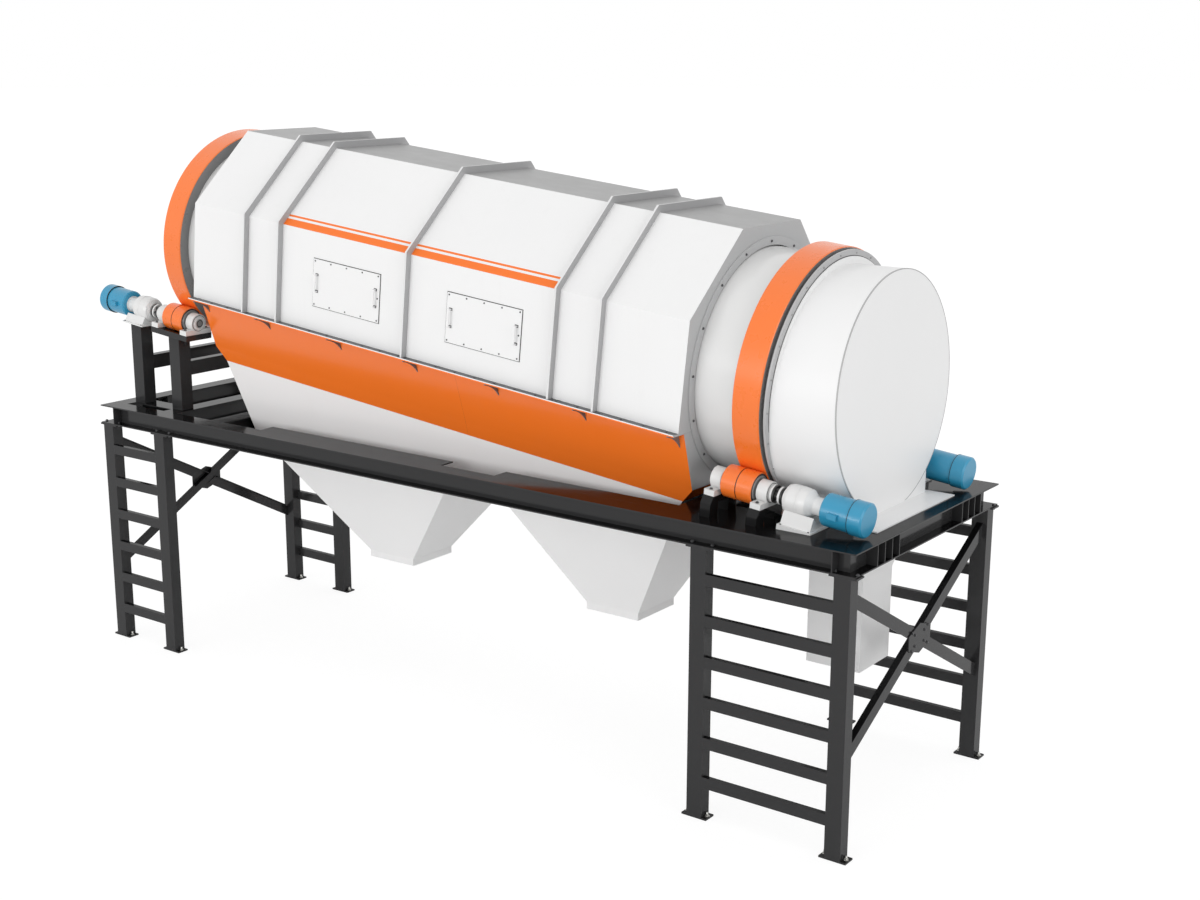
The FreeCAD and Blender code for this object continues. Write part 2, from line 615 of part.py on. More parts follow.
def cross_brace(end):
    """One continuous angle and two half angles between the outer legs of one end."""
    leg_face = z.frame_width / 2 - z.leg_y
    outer_x = end * (outer_leg + z.leg_x / 4)
    angle = math.degrees(math.atan2(brace_high - z.brace_low, 2 * leg_face))
    reach, half = z.frame_width, z.brace_width / 2
    inner_x = outer_x - end * z.brace_thick
    flat = block(outer_x, inner_x, -reach, reach, -half, half)
    lip = block(inner_x, outer_x - end * z.brace_lip, -reach, reach, half - z.brace_thick, half)
    angle_bar = flat.fuse(lip).removeSplitter()
    between_legs = block(-z.frame_length, z.frame_length, -leg_face, leg_face, 0, z.frame_top)
    rising, falling = angle_bar.copy(), angle_bar.copy()
    rising.Placement = Placement(Vector(0, 0, brace_centre), Rotation(ALONG, angle))
    falling.Placement = Placement(Vector(0, 0, brace_centre), Rotation(ALONG, -angle))
    clear = half + z.stiffener_thick
    gap = block(-z.frame_length, z.frame_length, -reach, reach, -clear, clear)
    gap.Placement = rising.Placement
    halves = falling.common(between_legs).cut(gap).Solids
    return [rising.common(between_legs)] + halves


def brace_gusset(end):
    """Six-sided plate on the outer face of the braces' crossing."""
    outer_x = end * (outer_leg + z.leg_x / 4)
    wide, high = z.gusset_half_y, z.gusset_half_z
    right = [(wide, high / 2), (wide, -high / 2), (0, -high)]
    left = [(-wide, -high / 2), (-wide, high / 2), (0, high)]
    points = [Vector(outer_x, y, brace_centre + height) for y, height in right + left]
    return prism(points, Vector(end * z.stiffener_thick, 0, 0))


add_shape("cross_braces", cross_brace(-1) + cross_brace(1))
add_shape("brace_gussets", [brace_gusset(end) for end in (-1, 1)])

# Feed-end posts and bearing bases


base_n = ROLLER.z - z.shaft_height
base_low = base_n - z.base_depth
saddle_n = ROLLER.z - z.saddle_height


def box_tube(x, y, width, depth, wall, low, high):
    half_x, half_y = width / 2, depth / 2
    outer = block(x - half_x, x + half_x, y - half_y, y + half_y, low, high)
    bore_x, bore_y = half_x - wall, half_y - wall
    return outer.cut(block(x - bore_x, x + bore_x, y - bore_y, y + bore_y, low, high))


def post_gusset(side):
    """Triangle between an inner post and the underside of its bearing base."""
    face = z.inner_post_x + z.post_x / 2
    top = z.axis_height + (base_low - face * SIN) / COS
    reach, half = z.post_gusset, z.stiffener_thick / 2
    corners = [(face, top - reach), (face + reach, top), (face + reach, top + reach), (face, top + reach)]
    points = [Vector(x, side * ROLLER.y - half, height) for x, height in corners]
    return below_slope(prism(points, Vector(0, 2 * half, 0)), base_low)


def feed_posts():
    posts = []
    for x, top in ((z.outer_post_x, saddle_n), (z.inner_post_x, base_low)):
        for side in (-1, 1):
            y = side * ROLLER.y
            tube = box_tube(x, y, z.post_x, z.post_y, z.post_wall, z.frame_top, 2 * z.frame_top)
            posts.append(below_slope(tube, top))
    return posts + [post_gusset(side) for side in (-1, 1)]


add_shape("feed_posts", feed_posts())


def post_ties():
    half = ROLLER.y - z.post_y / 2
    wall = z.post_wall
    low = z.frame_top + z.tie_rise
    high = low + z.tie_depth
    ties = []
    for x in (z.outer_post_x, z.inner_post_x):
        left, right = x - z.tie_width / 2, x + z.tie_width / 2
        tube = block(left, right, -half, half, low, high)
        ties.append(tube.cut(block(left + wall, right - wall, -half, half, low + wall, high - wall)))
    return ties


add_shape("post_ties", post_ties())


def bearing_base(side):
    """Open frame: a member under each bearing, one on the post, and two side rails."""
    y, half = side * ROLLER.y, z.bearing_base / 2 + z.fit_gap
    outer, inner = z.bearing_offset + z.base_member / 2, z.bearing_offset - z.base_member / 2
    post_s = z.inner_post_x / COS - base_low * SIN / COS
    middle, way = z.feed_roller_s, half - z.base_rail
    uphill, downhill = (middle - inner, post_s - z.post_x / 2), (post_s + z.post_x / 2, middle + inner)
    base = block(middle - outer, middle + outer, y - half, y + half, base_low, base_n)
    for start, end in (uphill, downhill):
        base = base.cut(block(start, end, y - way, y + way, base_low, base_n))
    under_roller = ROLLER.z - z.roller_radius - z.roller_clear
    return base.cut(block(middle - inner, middle + inner, y - way, y + way, under_roller, base_n))


add_shape("bearing_bases", [bearing_base(side) for side in (-1, 1)], SLOPED)


def pedestal(offset, side):
    """Bridge from the drive deck up to one discharge bearing."""
    half, spread = z.bearing_base / 2, z.bearing_base / 2 + z.pedestal_flare
    arch, crown, drop = z.pedestal_arch, z.pedestal_top, 2 * z.bearing_base
    right = [(half, 0), (spread, -crown), (spread, -drop), (arch, -drop), (arch, -crown)]
    corners = right + [(-y, n) for y, n in reversed(right)]
    start = z.out_roller_s + offset - z.bearing_width / 2
    points = [Vector(start, side * ROLLER.y + y, base_n + n) for y, n in corners]
    return above_level(prism(points, Vector(z.bearing_width, 0, 0)), z.frame_top)


offsets = (-z.bearing_offset, z.bearing_offset)
pedestals = [pedestal(offset, side) for offset in offsets for side in (-1, 1)]
add_shape("bearing_pedestals", pedestals, SLOPED)

# Drum


def tube_body(label, start, end, inner, outer):
    """A plain round shell along the drum axis."""
    body = new_body(label)
    section = sketch_on(body, f"{label}_section", "YZ_Plane")
    add_circle(section, "0", "0", outer)
    add_circle(section, "0", "0", inner)
    add_pad(body, section, f"({end}) - ({start})")
    lay(body, s=start)
    return keep(body, label)


DRUM_BORE = "sizes.drum_radius - sizes.drum_wall"
tube_body("drum_feed_shell", DRUM_START, "sizes.screen_start", DRUM_BORE, "sizes.drum_radius")
tube_body("drum_discharge_shell", "sizes.screen_end", DRUM_END, DRUM_BORE, "sizes.drum_radius")

screen = new_body("drum_screen")
screen_section = sketch_on(screen, "screen_section", "YZ_Plane")
add_circle(screen_section, "0", "0", "sizes.drum_radius")
add_circle(screen_section, "0", "0", DRUM_BORE)
add_pad(screen, screen_section, "sizes.screen_end - sizes.screen_start")
bay = "((sizes.screen_end - sizes.screen_start) / sizes.slot_rows)"
slot_sketch = sketch_on(screen, "screen_slots", "XY_Plane")
for i in range(round(z.slot_rows)):
    add_loop(slot_sketch, rectangle("sizes.slot_length", "sizes.slot_width", f"{bay} * {i + 0.5}"))
slots = screen.newObject("PartDesign::Pocket", "screen_slot_pairs")
slots.Profile = slot_sketch
slots.Type = "ThroughAll"
slots.Midplane = True
doc.recompute()
turned = screen.newObject("PartDesign::PolarPattern", "slots_round")
turned.Originals = [slots]
turned.Axis = (origin_feature(screen, "X_Axis"), [""])
turned.setExpression("Angle", "180 * (sizes.slot_pairs - 1) / sizes.slot_pairs")
turned.setExpression("Occurrences", "sizes.slot_pairs")
screen.Tip = turned
lay(screen, s="sizes.screen_start")
keep(screen, "drum_screen")
doc.recompute()

# The flight winds along the drum's inside and carries the oversize downhill
flight = new_body("drum_flight")
flight_section = sketch_on(flight, "flight_section", "XZ_Plane")
flight_inner, flight_outer = f"{DRUM_BORE} - sizes.flight_height", f"{DRUM_BORE} - sizes.fit_gap"
add_loop(
    flight_section,
    [
        ("0", flight_inner),
        ("sizes.flight_thick", flight_inner),
        ("sizes.flight_thick", flight_outer),
        ("0", flight_outer),
    ],
)
winding = flight.newObject("PartDesign::AdditiveHelix", "flight_winding")
winding.Profile = flight_section
winding.ReferenceAxis = (origin_feature(flight, "X_Axis"), [""])
winding.Mode = 0
winding.setExpression("Pitch", "sizes.flight_pitch")
winding.setExpression("Height", f"{DRUM_END} - {DRUM_START} - 3 * sizes.flight_thick")
doc.recompute()
lay(flight, s=f"{DRUM_START} + sizes.flight_thick")
keep(flight, "drum_flight")


def riding_tyre(label, centre):
    """A tyre with eased edges, turned about the drum axis."""
    body = new_body(label)
    half, flat = "sizes.tyre_width / 2", "(sizes.tyre_width / 2 - sizes.roller_groove)"
    bore, top = "sizes.drum_radius + sizes.fit_gap", TYRE_RADIUS
    low = f"{top} - sizes.roller_groove"
    sketch = sketch_on(body, f"{label}_section", "XZ_Plane")
    right = [(half, bore), (half, low), (flat, top)]
    add_loop(sketch, right + [(f"-{x}", radius) for x, radius in reversed(right)])
    add_turning(body, sketch)
    lay(body, s=centre)
    return keep(body, label)


riding_tyre("tyre_feed", FEED_TYRE)
riding_tyre("tyre_discharge", OUT_TYRE)

# Rollers, shafts and couplings


roller = new_body("roller_pattern")
roller_sketch = sketch_on(roller, "roller_section", "XZ_Plane")
roller_half, roller_flat = "sizes.roller_width / 2", "(sizes.roller_width / 2 - sizes.roller_groove)"
groove, groove_floor = "sizes.roller_groove / 2", "sizes.roller_radius - sizes.roller_groove / 2"
right_half = [
    (roller_half, "sizes.shaft_radius + sizes.fit_gap"),
    (roller_half, "sizes.roller_radius - sizes.roller_groove"),
    (roller_flat, "sizes.roller_radius"),
    (groove, "sizes.roller_radius"),
    (groove, groove_floor),
]
add_loop(roller_sketch, right_half + [(f"-{x}", radius) for x, radius in reversed(right_half)])
add_turning(roller, roller_sketch)

shaft_line = new_body("shaft_pattern")
shaft_sketch = sketch_on(shaft_line, "shaft_section", "XZ_Plane")
shaft_back = "-(sizes.bearing_offset + sizes.bearing_width / 2 + 15)"
disc_end = "(sizes.coupling_start + sizes.coupling_disc)"
add_loop(
    shaft_sketch,
    [
        (shaft_back, "0"),
        (disc_end, "0"),
        (disc_end, "sizes.coupling_radius"),
        ("sizes.coupling_start", "sizes.coupling_radius"),
        ("sizes.coupling_start", "sizes.shaft_radius"),
        (shaft_back, "sizes.shaft_radius"),
    ],
)
add_turning(shaft_line, shaft_sketch)

driver = new_body("coupling_driver_pattern")
driver_sketch = sketch_on(driver, "driver_section", "XZ_Plane")
driver_start = f"({disc_end} + sizes.coupling_gap)"
driver_end = f"({driver_start} + sizes.coupling_disc)"
stub_end = "(sizes.reducer_start + sizes.stub_length)"
add_loop(
    driver_sketch,
    [
        (driver_start, "0"),
        (stub_end, "0"),
        (stub_end, "sizes.output_radius"),
        (driver_end, "sizes.output_radius"),
        (driver_end, "sizes.coupling_radius"),
        (driver_start, "sizes.coupling_radius"),
    ],
)
add_turning(driver, driver_sketch)
doc.recompute()


def coupling_pins():
    start, end = value(disc_end), value(driver_start)
    pins = []
    for i in range(round(z.coupling_pins)):
        angle = 2 * math.pi * i / z.coupling_pins
        y, n = z.coupling_pin_circle * math.cos(angle), z.coupling_pin_circle * math.sin(angle)
        pins.append(rod(Vector(start, y, n), Vector(end, y, n), z.coupling_pin_radius))
    return pins


def drive_place(s, out, side):
    """On one roller's axis, with the drive pointing away from the drum's middle."""
    turn = Rotation(UP, 0 if out > 0 else 180)
    return Placement(Vector(s, side * ROLLER.y, ROLLER.z), turn)


def drive_name(out, side):
    return f"{'feed' if out < 0 else 'discharge'}_{'front' if side < 0 else 'back'}"


for s, out, side in DRIVES:
    name, place = drive_name(out, side), [drive_place(s, out, side)]
    add_shape(f"roller_{name}", copies(roller.Shape, place), SLOPED)
    add_shape(f"roller_shaft_{name}", copies(shaft_line.Shape, place), SLOPED)
    drive_half = [driver.Shape] + coupling_pins()
    pieces = [copy for shape in drive_half for copy in copies(shape, place)]
    add_shape(f"pin_coupling_{name}", pieces, SLOPED)

# Bearings, reducers, motors


bearing = new_body("bearing_pattern")
foot_sketch = sketch_on(bearing, "bearing_outline", "YZ_Plane")
foot_top = "-sizes.shaft_height + sizes.bearing_foot"
foot_low = "-sizes.shaft_height"
foot_side = "sizes.bearing_base / 2"
foot_right = [(foot_side, foot_low), (foot_side, foot_top)]
add_loop(foot_sketch, foot_right + [(f"-{y}", n) for y, n in reversed(foot_right)])
add_pad(bearing, foot_sketch, "sizes.bearing_width")
cap_sketch = sketch_on(bearing, "bearing_cap", "YZ_Plane")
add_circle(cap_sketch, "0", "0", "sizes.bearing_radius")
add_pad(bearing, cap_sketch, "sizes.bearing_width")
bore_sketch = sketch_on(bearing, "bearing_bore", "YZ_Plane")
add_circle(bore_sketch, "0", "0", "sizes.shaft_radius + sizes.running_gap")
add_pocket(bearing, bore_sketch, backwards=True)

reducer = new_body("reducer_pattern")
reducer_sketch = sketch_on(reducer, "reducer_section", "XZ_Plane")
bulb, neck, face = "sizes.reducer_radius", "sizes.reducer_neck", "sizes.reducer_start"
hollow, hollow_end = "sizes.output_radius + sizes.running_gap", f"{stub_end} + sizes.running_gap"
add_loop(
    reducer_sketch,
    [
        (face, hollow),
        (hollow_end, hollow),
        (hollow_end, "0"),
        ("sizes.motor_start", "0"),
        ("sizes.motor_start", neck),
        ("sizes.reducer_body_end + 55", neck),
        ("sizes.reducer_body_end + 25", f"{bulb} - 30"),
        ("sizes.reducer_body_end", f"{bulb} - 6"),
        ("sizes.reducer_body_end - 50", bulb),
        (f"{face} + 45", bulb),
        (f"{face} + 14", f"{bulb} - 12"),
        (face, f"{bulb} - 40"),
    ],
)
add_turning(reducer, reducer_sketch)

motor = new_body("motor_pattern")
motor_sketch = sketch_on(motor, "motor_section", "XZ_Plane")
add_loop(
    motor_sketch,
    [
        ("sizes.motor_start", "0"),
        ("sizes.cowl_start", "0"),
        ("sizes.cowl_start", "sizes.motor_radius"),
        ("sizes.motor_start + 12", "sizes.motor_radius"),
        ("sizes.motor_start", "sizes.motor_radius - 12"),
    ],
)
add_turning(motor, motor_sketch)

cowl = new_body("cowl_pattern")
cowl_sketch = sketch_on(cowl, "cowl_section", "XZ_Plane")
add_loop(
    cowl_sketch,
    [
        ("sizes.cowl_start", "0"),
        ("sizes.motor_end", "0"),
        ("sizes.motor_end", "sizes.cowl_radius - sizes.cowl_edge"),
        ("sizes.motor_end - sizes.cowl_edge", "sizes.cowl_radius"),
        ("sizes.cowl_start", "sizes.cowl_radius"),
    ],
)
add_turning(cowl, cowl_sketch)
doc.recompute()

bearing_places = []
for s, out, side in DRIVES:
    for offset in offsets:
        start = Vector(s + offset - z.bearing_width / 2, side * ROLLER.y, ROLLER.z)
        bearing_places.append(Placement(start, Rotation()))
add_shape("bearing_housings", copies(bearing.Shape, bearing_places), SLOPED)
drive_places = [drive_place(*drive) for drive in DRIVES]
add_shape("gear_reducers", copies(reducer.Shape, drive_places), SLOPED)
add_shape("drive_motors", copies(motor.Shape, drive_places), SLOPED)
add_shape("motor_cowls", copies(cowl.Shape, drive_places), SLOPED)


def round_way(radius, centre, side):
    """A cylinder along a roller axis, to seat a piece on a round body."""
    start = Vector(centre - z.motor_end, side * ROLLER.y, ROLLER.z)
    return Part.makeCylinder(radius + z.fit_gap, 2 * z.motor_end, start, ALONG)


def junction_box(s, out, side):
    """Terminal box on the motor's outer flank, seated on its round body."""
    centre = s + out * (z.motor_start + z.cowl_start) / 2
    half, rise = z.box_length / 2, z.box_height / 2
    axis = side * ROLLER.y
    outside = side * (ROLLER.y + z.motor_radius + z.box_reach)
    box = block(centre - half, centre + half, axis, outside, ROLLER.z - rise, ROLLER.z + rise)
    return box.cut(round_way(z.motor_radius, centre, side))


add_shape("junction_boxes", [junction_box(*drive) for drive in DRIVES], SLOPED)


def reducer_saddle(s, out, side):
    """Cradle under a reducer, on its base plate; on the drive deck the plate is cut level."""
    centre, y = s + out * z.saddle_offset, side * ROLLER.y
    half, length = z.saddle_width / 2, z.saddle_length / 2
    deck_n = (z.frame_top - z.axis_height + (centre + length) * SIN) / COS
    low = saddle_n if out < 0 else deck_n
    top = low + z.saddle_plate
    under = low if out < 0 else low - z.beam_depth
    plate = block(centre - length, centre + length, y - half, y + half, under, top)
    foot, crown, crown_n = z.saddle_foot, z.saddle_top, ROLLER.z - z.cradle_depth
    corners = [(-foot, top), (foot, top), (crown, crown_n), (-crown, crown_n)]
    points = [Vector(centre - z.saddle_web / 2, y + across_y, n) for across_y, n in corners]
    saddle = plate.fuse(prism(points, Vector(z.saddle_web, 0, 0)))
    saddle = saddle.cut(round_way(z.reducer_radius, centre, side)).removeSplitter()
    return above_level(saddle, z.frame_top) if out > 0 else saddle


add_shape("reducer_saddles", [reducer_saddle(*drive) for drive in DRIVES], SLOPED)

# Casing


def across_section(points, start, end):
    """A prism along the drum axis from half of a mirrored outline, top to bottom."""
    outline = points + [(-y, n) for y, n in reversed(points)]
    return prism([Vector(start, y, n) for y, n in outline], Vector(end - start, 0, 0))


def inset_line(points, gap):
    """The same open outline moved inwards by a wall, corner by corner."""
    moved = []
    for i, (y, n) in enumerate(points):
        directions = []
        for a, b in ((i - 1, i), (i, i + 1)):
            if 0 <= a and b < len(points):
                dy, dn = points[b][0] - points[a][0], points[b][1] - points[a][1]
                span = math.hypot(dy, dn)
                directions.append((dn / span, -dy / span))
        if len(directions) == 1:
            directions.append(directions[0])
        (ay, an), (by, bn) = directions
        share = 1 + ay * by + an * bn
        moved.append((y + gap * (ay + by) / share, n + gap * (an + bn) / share))
    return moved


joint_n = -z.joint_drop
hole_radius = z.drum_radius + z.end_hole_gap
drum_way = Part.makeCylinder(hole_radius, 4 * z.frame_length, Vector(-2 * z.frame_length, 0, 0), ALONG)
roof_n = z.drum_radius + z.roof_gap
lip_edge = z.cover_half + z.lip_reach
cover_line = [(z.cover_half, joint_n), (z.cover_half, z.shoulder_height), (z.roof_half, roof_n)]
inner_line = inset_line(cover_line + [(0, roof_n)], -z.sheet_thick)[:3]


def upper_cover():
    """Folded cover with end plates, side flanges and the two inspection openings."""
    shell = across_section(cover_line, z.cover_start, z.cover_end)
    room = across_section(inner_line, z.cover_start + z.end_plate, z.cover_end - z.end_plate)
    shell = shell.cut(room).cut(drum_way)
    for side in (-1, 1):
        wall = side * (z.cover_half - z.sheet_thick)
        lip = block(z.cover_start, z.cover_end, wall, side * lip_edge, joint_n, joint_n + z.lip_thick)
        shell = shell.fuse(lip)
    for centre in (z.feed_door_s, z.out_door_s):
        half, tall = z.door_length / 2 - z.door_lap, z.door_height / 2 - z.door_lap
        inside = -z.cover_half + 3 * z.sheet_thick
        shell = shell.cut(block(centre - half, centre + half, -lip_edge, inside, -tall, tall))
    return shell.removeSplitter()


add_shape("upper_cover", [upper_cover()], SLOPED)


body_half, body_low = z.drum_radius + z.body_gap, z.drum_radius + z.body_low_gap
skirt_n = -z.drum_radius - z.skirt_gap


def tapered(top, bottom, top_half, bottom_half, top_z, bottom_z):
    """A block that narrows from one rectangle to another; top and bottom are spans along X."""
    profile = [(top[0], top_z), (top[1], top_z), (bottom[1], bottom_z), (bottom[0], bottom_z)]
    reach = 2 * max(top_half, bottom_half)
    lengthwise = prism([Vector(x, -reach, height) for x, height in profile], Vector(0, 2 * reach, 0))
    edges = [(-top_half, top_z), (top_half, top_z), (bottom_half, bottom_z), (-bottom_half, bottom_z)]
    start, end = min(top[0], bottom[0]) - reach, max(top[1], bottom[1]) + reach
    crosswise = prism([Vector(start, y, height) for y, height in edges], Vector(end - start, 0, 0))
    return lengthwise.common(crosswise)


def shrink(span, gap):
    return span[0] + gap, span[1] - gap


def trough_solid(gap):
    """Everything inside the lower casing's outside, moved in by a wall."""
    over = 1 if gap else 0
    body_span = shrink((z.cover_start, z.cover_end), z.end_plate if gap else 0)
    trough_span = shrink((z.cover_start, z.cover_end), z.skirt_inset + gap)
    half = z.skirt_half - gap
    side_line = inset_line([(body_half, joint_n), (z.body_low_half, -body_low)], gap)
    low_half, low_n = side_line[1]
    body = across_section([(side_line[0][0], joint_n + over), side_line[1]], *body_span)
    throat = tapered(body_span, trough_span, low_half, half, low_n, skirt_n)
    outline = [Vector(s, -half, skirt_n) for s in trough_span]
    for x in (z.trough_out_x - gap, z.trough_feed_x + gap):
        foot = level_in_slope(x, seat_top - over)
        outline.append(Vector(foot.x, -half, foot.z))
    trough = prism(outline, Vector(0, 2 * half, 0))
    return body.fuse(throat).fuse(trough)


def lower_casing():
    """Hanging body with open end plates, throat and trough, and the joint flanges."""
    shell = trough_solid(0).cut(trough_solid(z.sheet_thick)).cut(drum_way)
    for side in (-1, 1):
        wall = side * (body_half - 2 * z.sheet_thick)
        lip = block(z.cover_start, z.cover_end, wall, side * lip_edge, joint_n - z.lip_thick, joint_n)
        shell = shell.fuse(lip)
    return shell.removeSplitter()


add_shape("lower_casing", [lower_casing()], SLOPED)


def cover_rib(centre):
    """Flat bar bent over the cover from flange to flange."""
    start, end = centre - z.rib_thick / 2, centre + z.rib_thick / 2
    foot_n = joint_n + z.lip_thick
    line = [(z.cover_half, foot_n)] + cover_line[1:]
    grown = inset_line(line + [(0, roof_n)], z.rib_proud)[:3]
    grown[0] = (grown[0][0], foot_n)
    return across_section(grown, start, end).cut(across_section(line, start, end))


rib_places = (-2380, -1900, -220, 1520, 2010)
add_shape("cover_ribs", [cover_rib(centre) for centre in rib_places], SLOPED)


def joint_gusset(centre, side):
    """Small triangle between the flange and the sloping side."""
    top = joint_n - z.lip_thick
    lean = (body_half - z.body_low_half) / (body_low - z.joint_drop)
    wall_top = body_half - lean * z.lip_thick
    wall_low = wall_top - lean * z.joint_gusset_drop
    reach = lip_edge - z.lip_thick / 2
    half = z.joint_gusset_thick / 2
    corners = [(wall_top, top), (reach, top), (wall_low, top - z.joint_gusset_drop)]
    return prism([Vector(centre - half, side * y, n) for y, n in corners], Vector(2 * half, 0, 0))


gusset_start = (z.cover_start + z.cover_end - z.joint_gusset_pitch * (z.joint_gusset_count - 1)) / 2
gusset_places = [gusset_start + i * z.joint_gusset_pitch for i in range(round(z.joint_gusset_count))]
add_shape("joint_gussets", [joint_gusset(s, side) for s in gusset_places for side in (-1, 1)], SLOPED)


def seal_ring(start):
    """Ring on the outside of an end plate, just clear of the drum."""
    centre = Vector(start, 0, 0)
    ring = Part.makeCylinder(z.drum_radius + z.ring_reach, z.ring_thick, centre, ALONG)
    return ring.cut(Part.makeCylinder(z.drum_radius + z.ring_inner_gap, z.ring_thick, centre, ALONG))


add_shape("seal_rings", [seal_ring(z.cover_start - z.ring_thick), seal_ring(z.cover_end)], SLOPED)


def access_cover(label, centre):
    """Flat bolted cover over an inspection opening."""
    body = new_body(label)
    sketch = sketch_on(body, f"{label}_outline", "XZ_Plane")
    add_loop(sketch, rectangle("sizes.door_length", "sizes.door_height"))
    add_pad(body, sketch, "sizes.door_thick")
    lay(body, s=centre, y=f"-{COVER_HALF}")
    return keep(body, label)


access_cover("access_cover_feed", "sizes.feed_door_s")
access_cover("access_cover_discharge", "sizes.out_door_s")


def handle(centre):
    """Upright handle of flat bar: a grip on two legs, with its outer corners eased."""
    face = -z.cover_half - z.door_thick
    outside = face - z.handle_reach
    high, low = z.handle_length / 2 + z.handle_thick, z.handle_length / 2
    inside, ease = outside + z.handle_thick, z.handle_thick / 2
    upper = [(face, low), (face, high), (outside + ease, high), (outside, high - ease)]
    lower = [(y, -n) for y, n in reversed(upper)]
    points = [(y, n) for y, n in upper + lower + [(inside, -low), (inside, low)]]
    start = centre - z.handle_width / 2
    return prism([Vector(start, y, n) for y, n in points], Vector(z.handle_width, 0, 0))


handle_places = [
    centre + side * (z.door_length / 2 - z.handle_inset)
    for centre in (z.feed_door_s, z.out_door_s)
    for side in (-1, 1)
]
add_shape("cover_handles", [handle(centre) for centre in handle_places], SLOPED)

# Hoppers


def outlet_hopper(start, end, centre):
    """Four-sided hopper with an outlet collar and a bolting rim under the seat plate."""
    collar = (centre - z.collar_half, centre + z.collar_half)
    collar_top = z.collar_bottom + z.collar_height
    shells = []
    for gap, over in ((0, 0), (z.sheet_thick, 1)):
        top, mouth = shrink((start, end), gap), shrink(collar, gap)
        wide, narrow = z.hopper_half - gap, z.collar_half - gap
        cone = tapered(top, mouth, wide, narrow, beam_bottom, collar_top)
        spout = block(*mouth, -narrow, narrow, z.collar_bottom - over, collar_top)
        neck = block(*top, -wide, wide, beam_bottom, seat_bottom + over)
        shells.append(cone.fuse(spout).fuse(neck))
    rim_start = max(start - z.rim_reach, seat_start)
    rim_end = min(end + z.rim_reach, seat_end)
    rim_half, rim_low = z.hopper_half + z.rim_reach, seat_bottom - z.rim_thick
    rim = block(rim_start, rim_end, -rim_half, rim_half, rim_low, seat_bottom)
    rim = rim.cut(block(start, end, -z.hopper_half, z.hopper_half, rim_low, seat_bottom))
    return shells[0].cut(shells[1]).fuse(rim).removeSplitter()


add_shape("outlet_hopper_feed", [outlet_hopper(z.feed_hopper_start, z.feed_hopper_end, z.feed_collar_x)])
add_shape("outlet_hopper_discharge", [outlet_hopper(z.out_hopper_start, z.out_hopper_end, z.out_collar_x)])

# Discharge hood and oversize chute

hood_radius = z.drum_radius + z.hood_gap
hood_height = z.axis_height - z.drum_end * SIN - z.hood_drop
ring_start = z.drum_end + z.hood_ring_gap
end_face = z.hood_face_x - z.end_plate
flange_top = z.frame_top + z.lip_thick
hood_start = ring_start - z.tyre_width
hood_origin = Vector(hood_start, 0, hood_height)
hood_outside = Part.makeCylinder(hood_radius, end_face - hood_start, hood_origin, ALONG)
hood_inside = Part.makeCylinder(hood_radius - z.sheet_thick, end_face - hood_start, hood_origin, ALONG)
under_hood = block(hood_start, z.hood_face_x, -hood_radius, hood_radius, 0, flange_top)
throat_start = z.hood_base_start + z.sheet_thick
throat = block(throat_start, z.hood_face_x, -z.hood_base_half, z.hood_base_half, 0, hood_height)


def beyond_ring(shape):
    """The part of a level shape that lies past the hood ring."""
    start, reach = ring_start + z.hood_ring_thick, z.frame_length
    big = block(start, start + reach, -reach, reach, -reach, reach)
    big.Placement = LEVEL.inverse().multiply(SLOPED)
    return shape.common(big)


hood_shell = hood_outside.cut(hood_inside).cut(under_hood).cut(throat)
add_shape("discharge_hood", [beyond_ring(hood_shell)])

end_disc = Part.makeCylinder(hood_radius, z.end_plate, Vector(end_face, 0, hood_height), ALONG)
end_foot = block(end_face, z.hood_face_x, -z.hood_base_half, z.hood_base_half, flange_top, hood_height)
end_wall = end_disc.fuse(end_foot).cut(under_hood).removeSplitter()
add_shape("hood_end_plate", [end_wall])


def hood_ring():
    """Plate that closes the hood round the drum's end."""
    end, origin = ring_start + z.hood_ring_thick, Vector(ring_start, 0, 0)
    ring = Part.makeCylinder(z.drum_radius + z.hood_ring_reach, z.hood_ring_thick, origin, ALONG)
    skirt = hood_outside.copy()
    skirt.Placement = SLOPED.inverse().multiply(LEVEL)
    reach = 2 * hood_radius
    skirt = skirt.common(block(ring_start, end, -reach, reach, -reach, 0))
    hole = Part.makeCylinder(z.drum_radius - z.hood_ring_lap, z.hood_ring_thick, origin, ALONG)
    return above_level(ring.fuse(skirt).cut(hole).removeSplitter(), flange_top)


add_shape("hood_ring", [hood_ring()], SLOPED)


def hood_base():
    """Walls of the throat under the hood, with a flange on the drive decks."""
    half, inner, wide = z.hood_base_half, z.hood_base_half - z.sheet_thick, hood_flange_half
    outside = block(z.hood_base_start, end_face, -half, half, z.frame_top, hood_height)
    inside = block(throat_start, end_face, -inner, inner, z.frame_top, hood_height)
    round_cut = Part.makeCylinder(hood_radius, 2 * z.frame_length, Vector(0, 0, hood_height), ALONG)
    walls = outside.cut(inside).cut(round_cut)
    flange = block(z.hood_flange_start, z.hood_flange_end, -wide, wide, z.frame_top, flange_top)
    return walls.fuse(flange.cut(inside)).removeSplitter()


add_shape("hood_base", [hood_base()])


def oversize_chute():
    """Straight chute under the hood with a flared top hung from the hood base's flange."""
    shoulder = z.frame_top - z.chute_flare
    shells = []
    for gap, over in ((0, 0), (z.sheet_thick, 1)):
        top = shrink((z.hood_base_start, z.hood_face_x), gap)
        straight = shrink((z.chute_start, z.chute_end), gap)
        wide, narrow = z.hood_base_half - gap, z.chute_half - gap
        flare = tapered(top, straight, wide, narrow, z.frame_top, shoulder)
        shells.append(flare.fuse(block(*straight, -narrow, narrow, z.chute_bottom - over, shoulder)))
    return shells[0].cut(shells[1]).removeSplitter()


add_shape("oversize_chute", [oversize_chute()])

# Checks and files

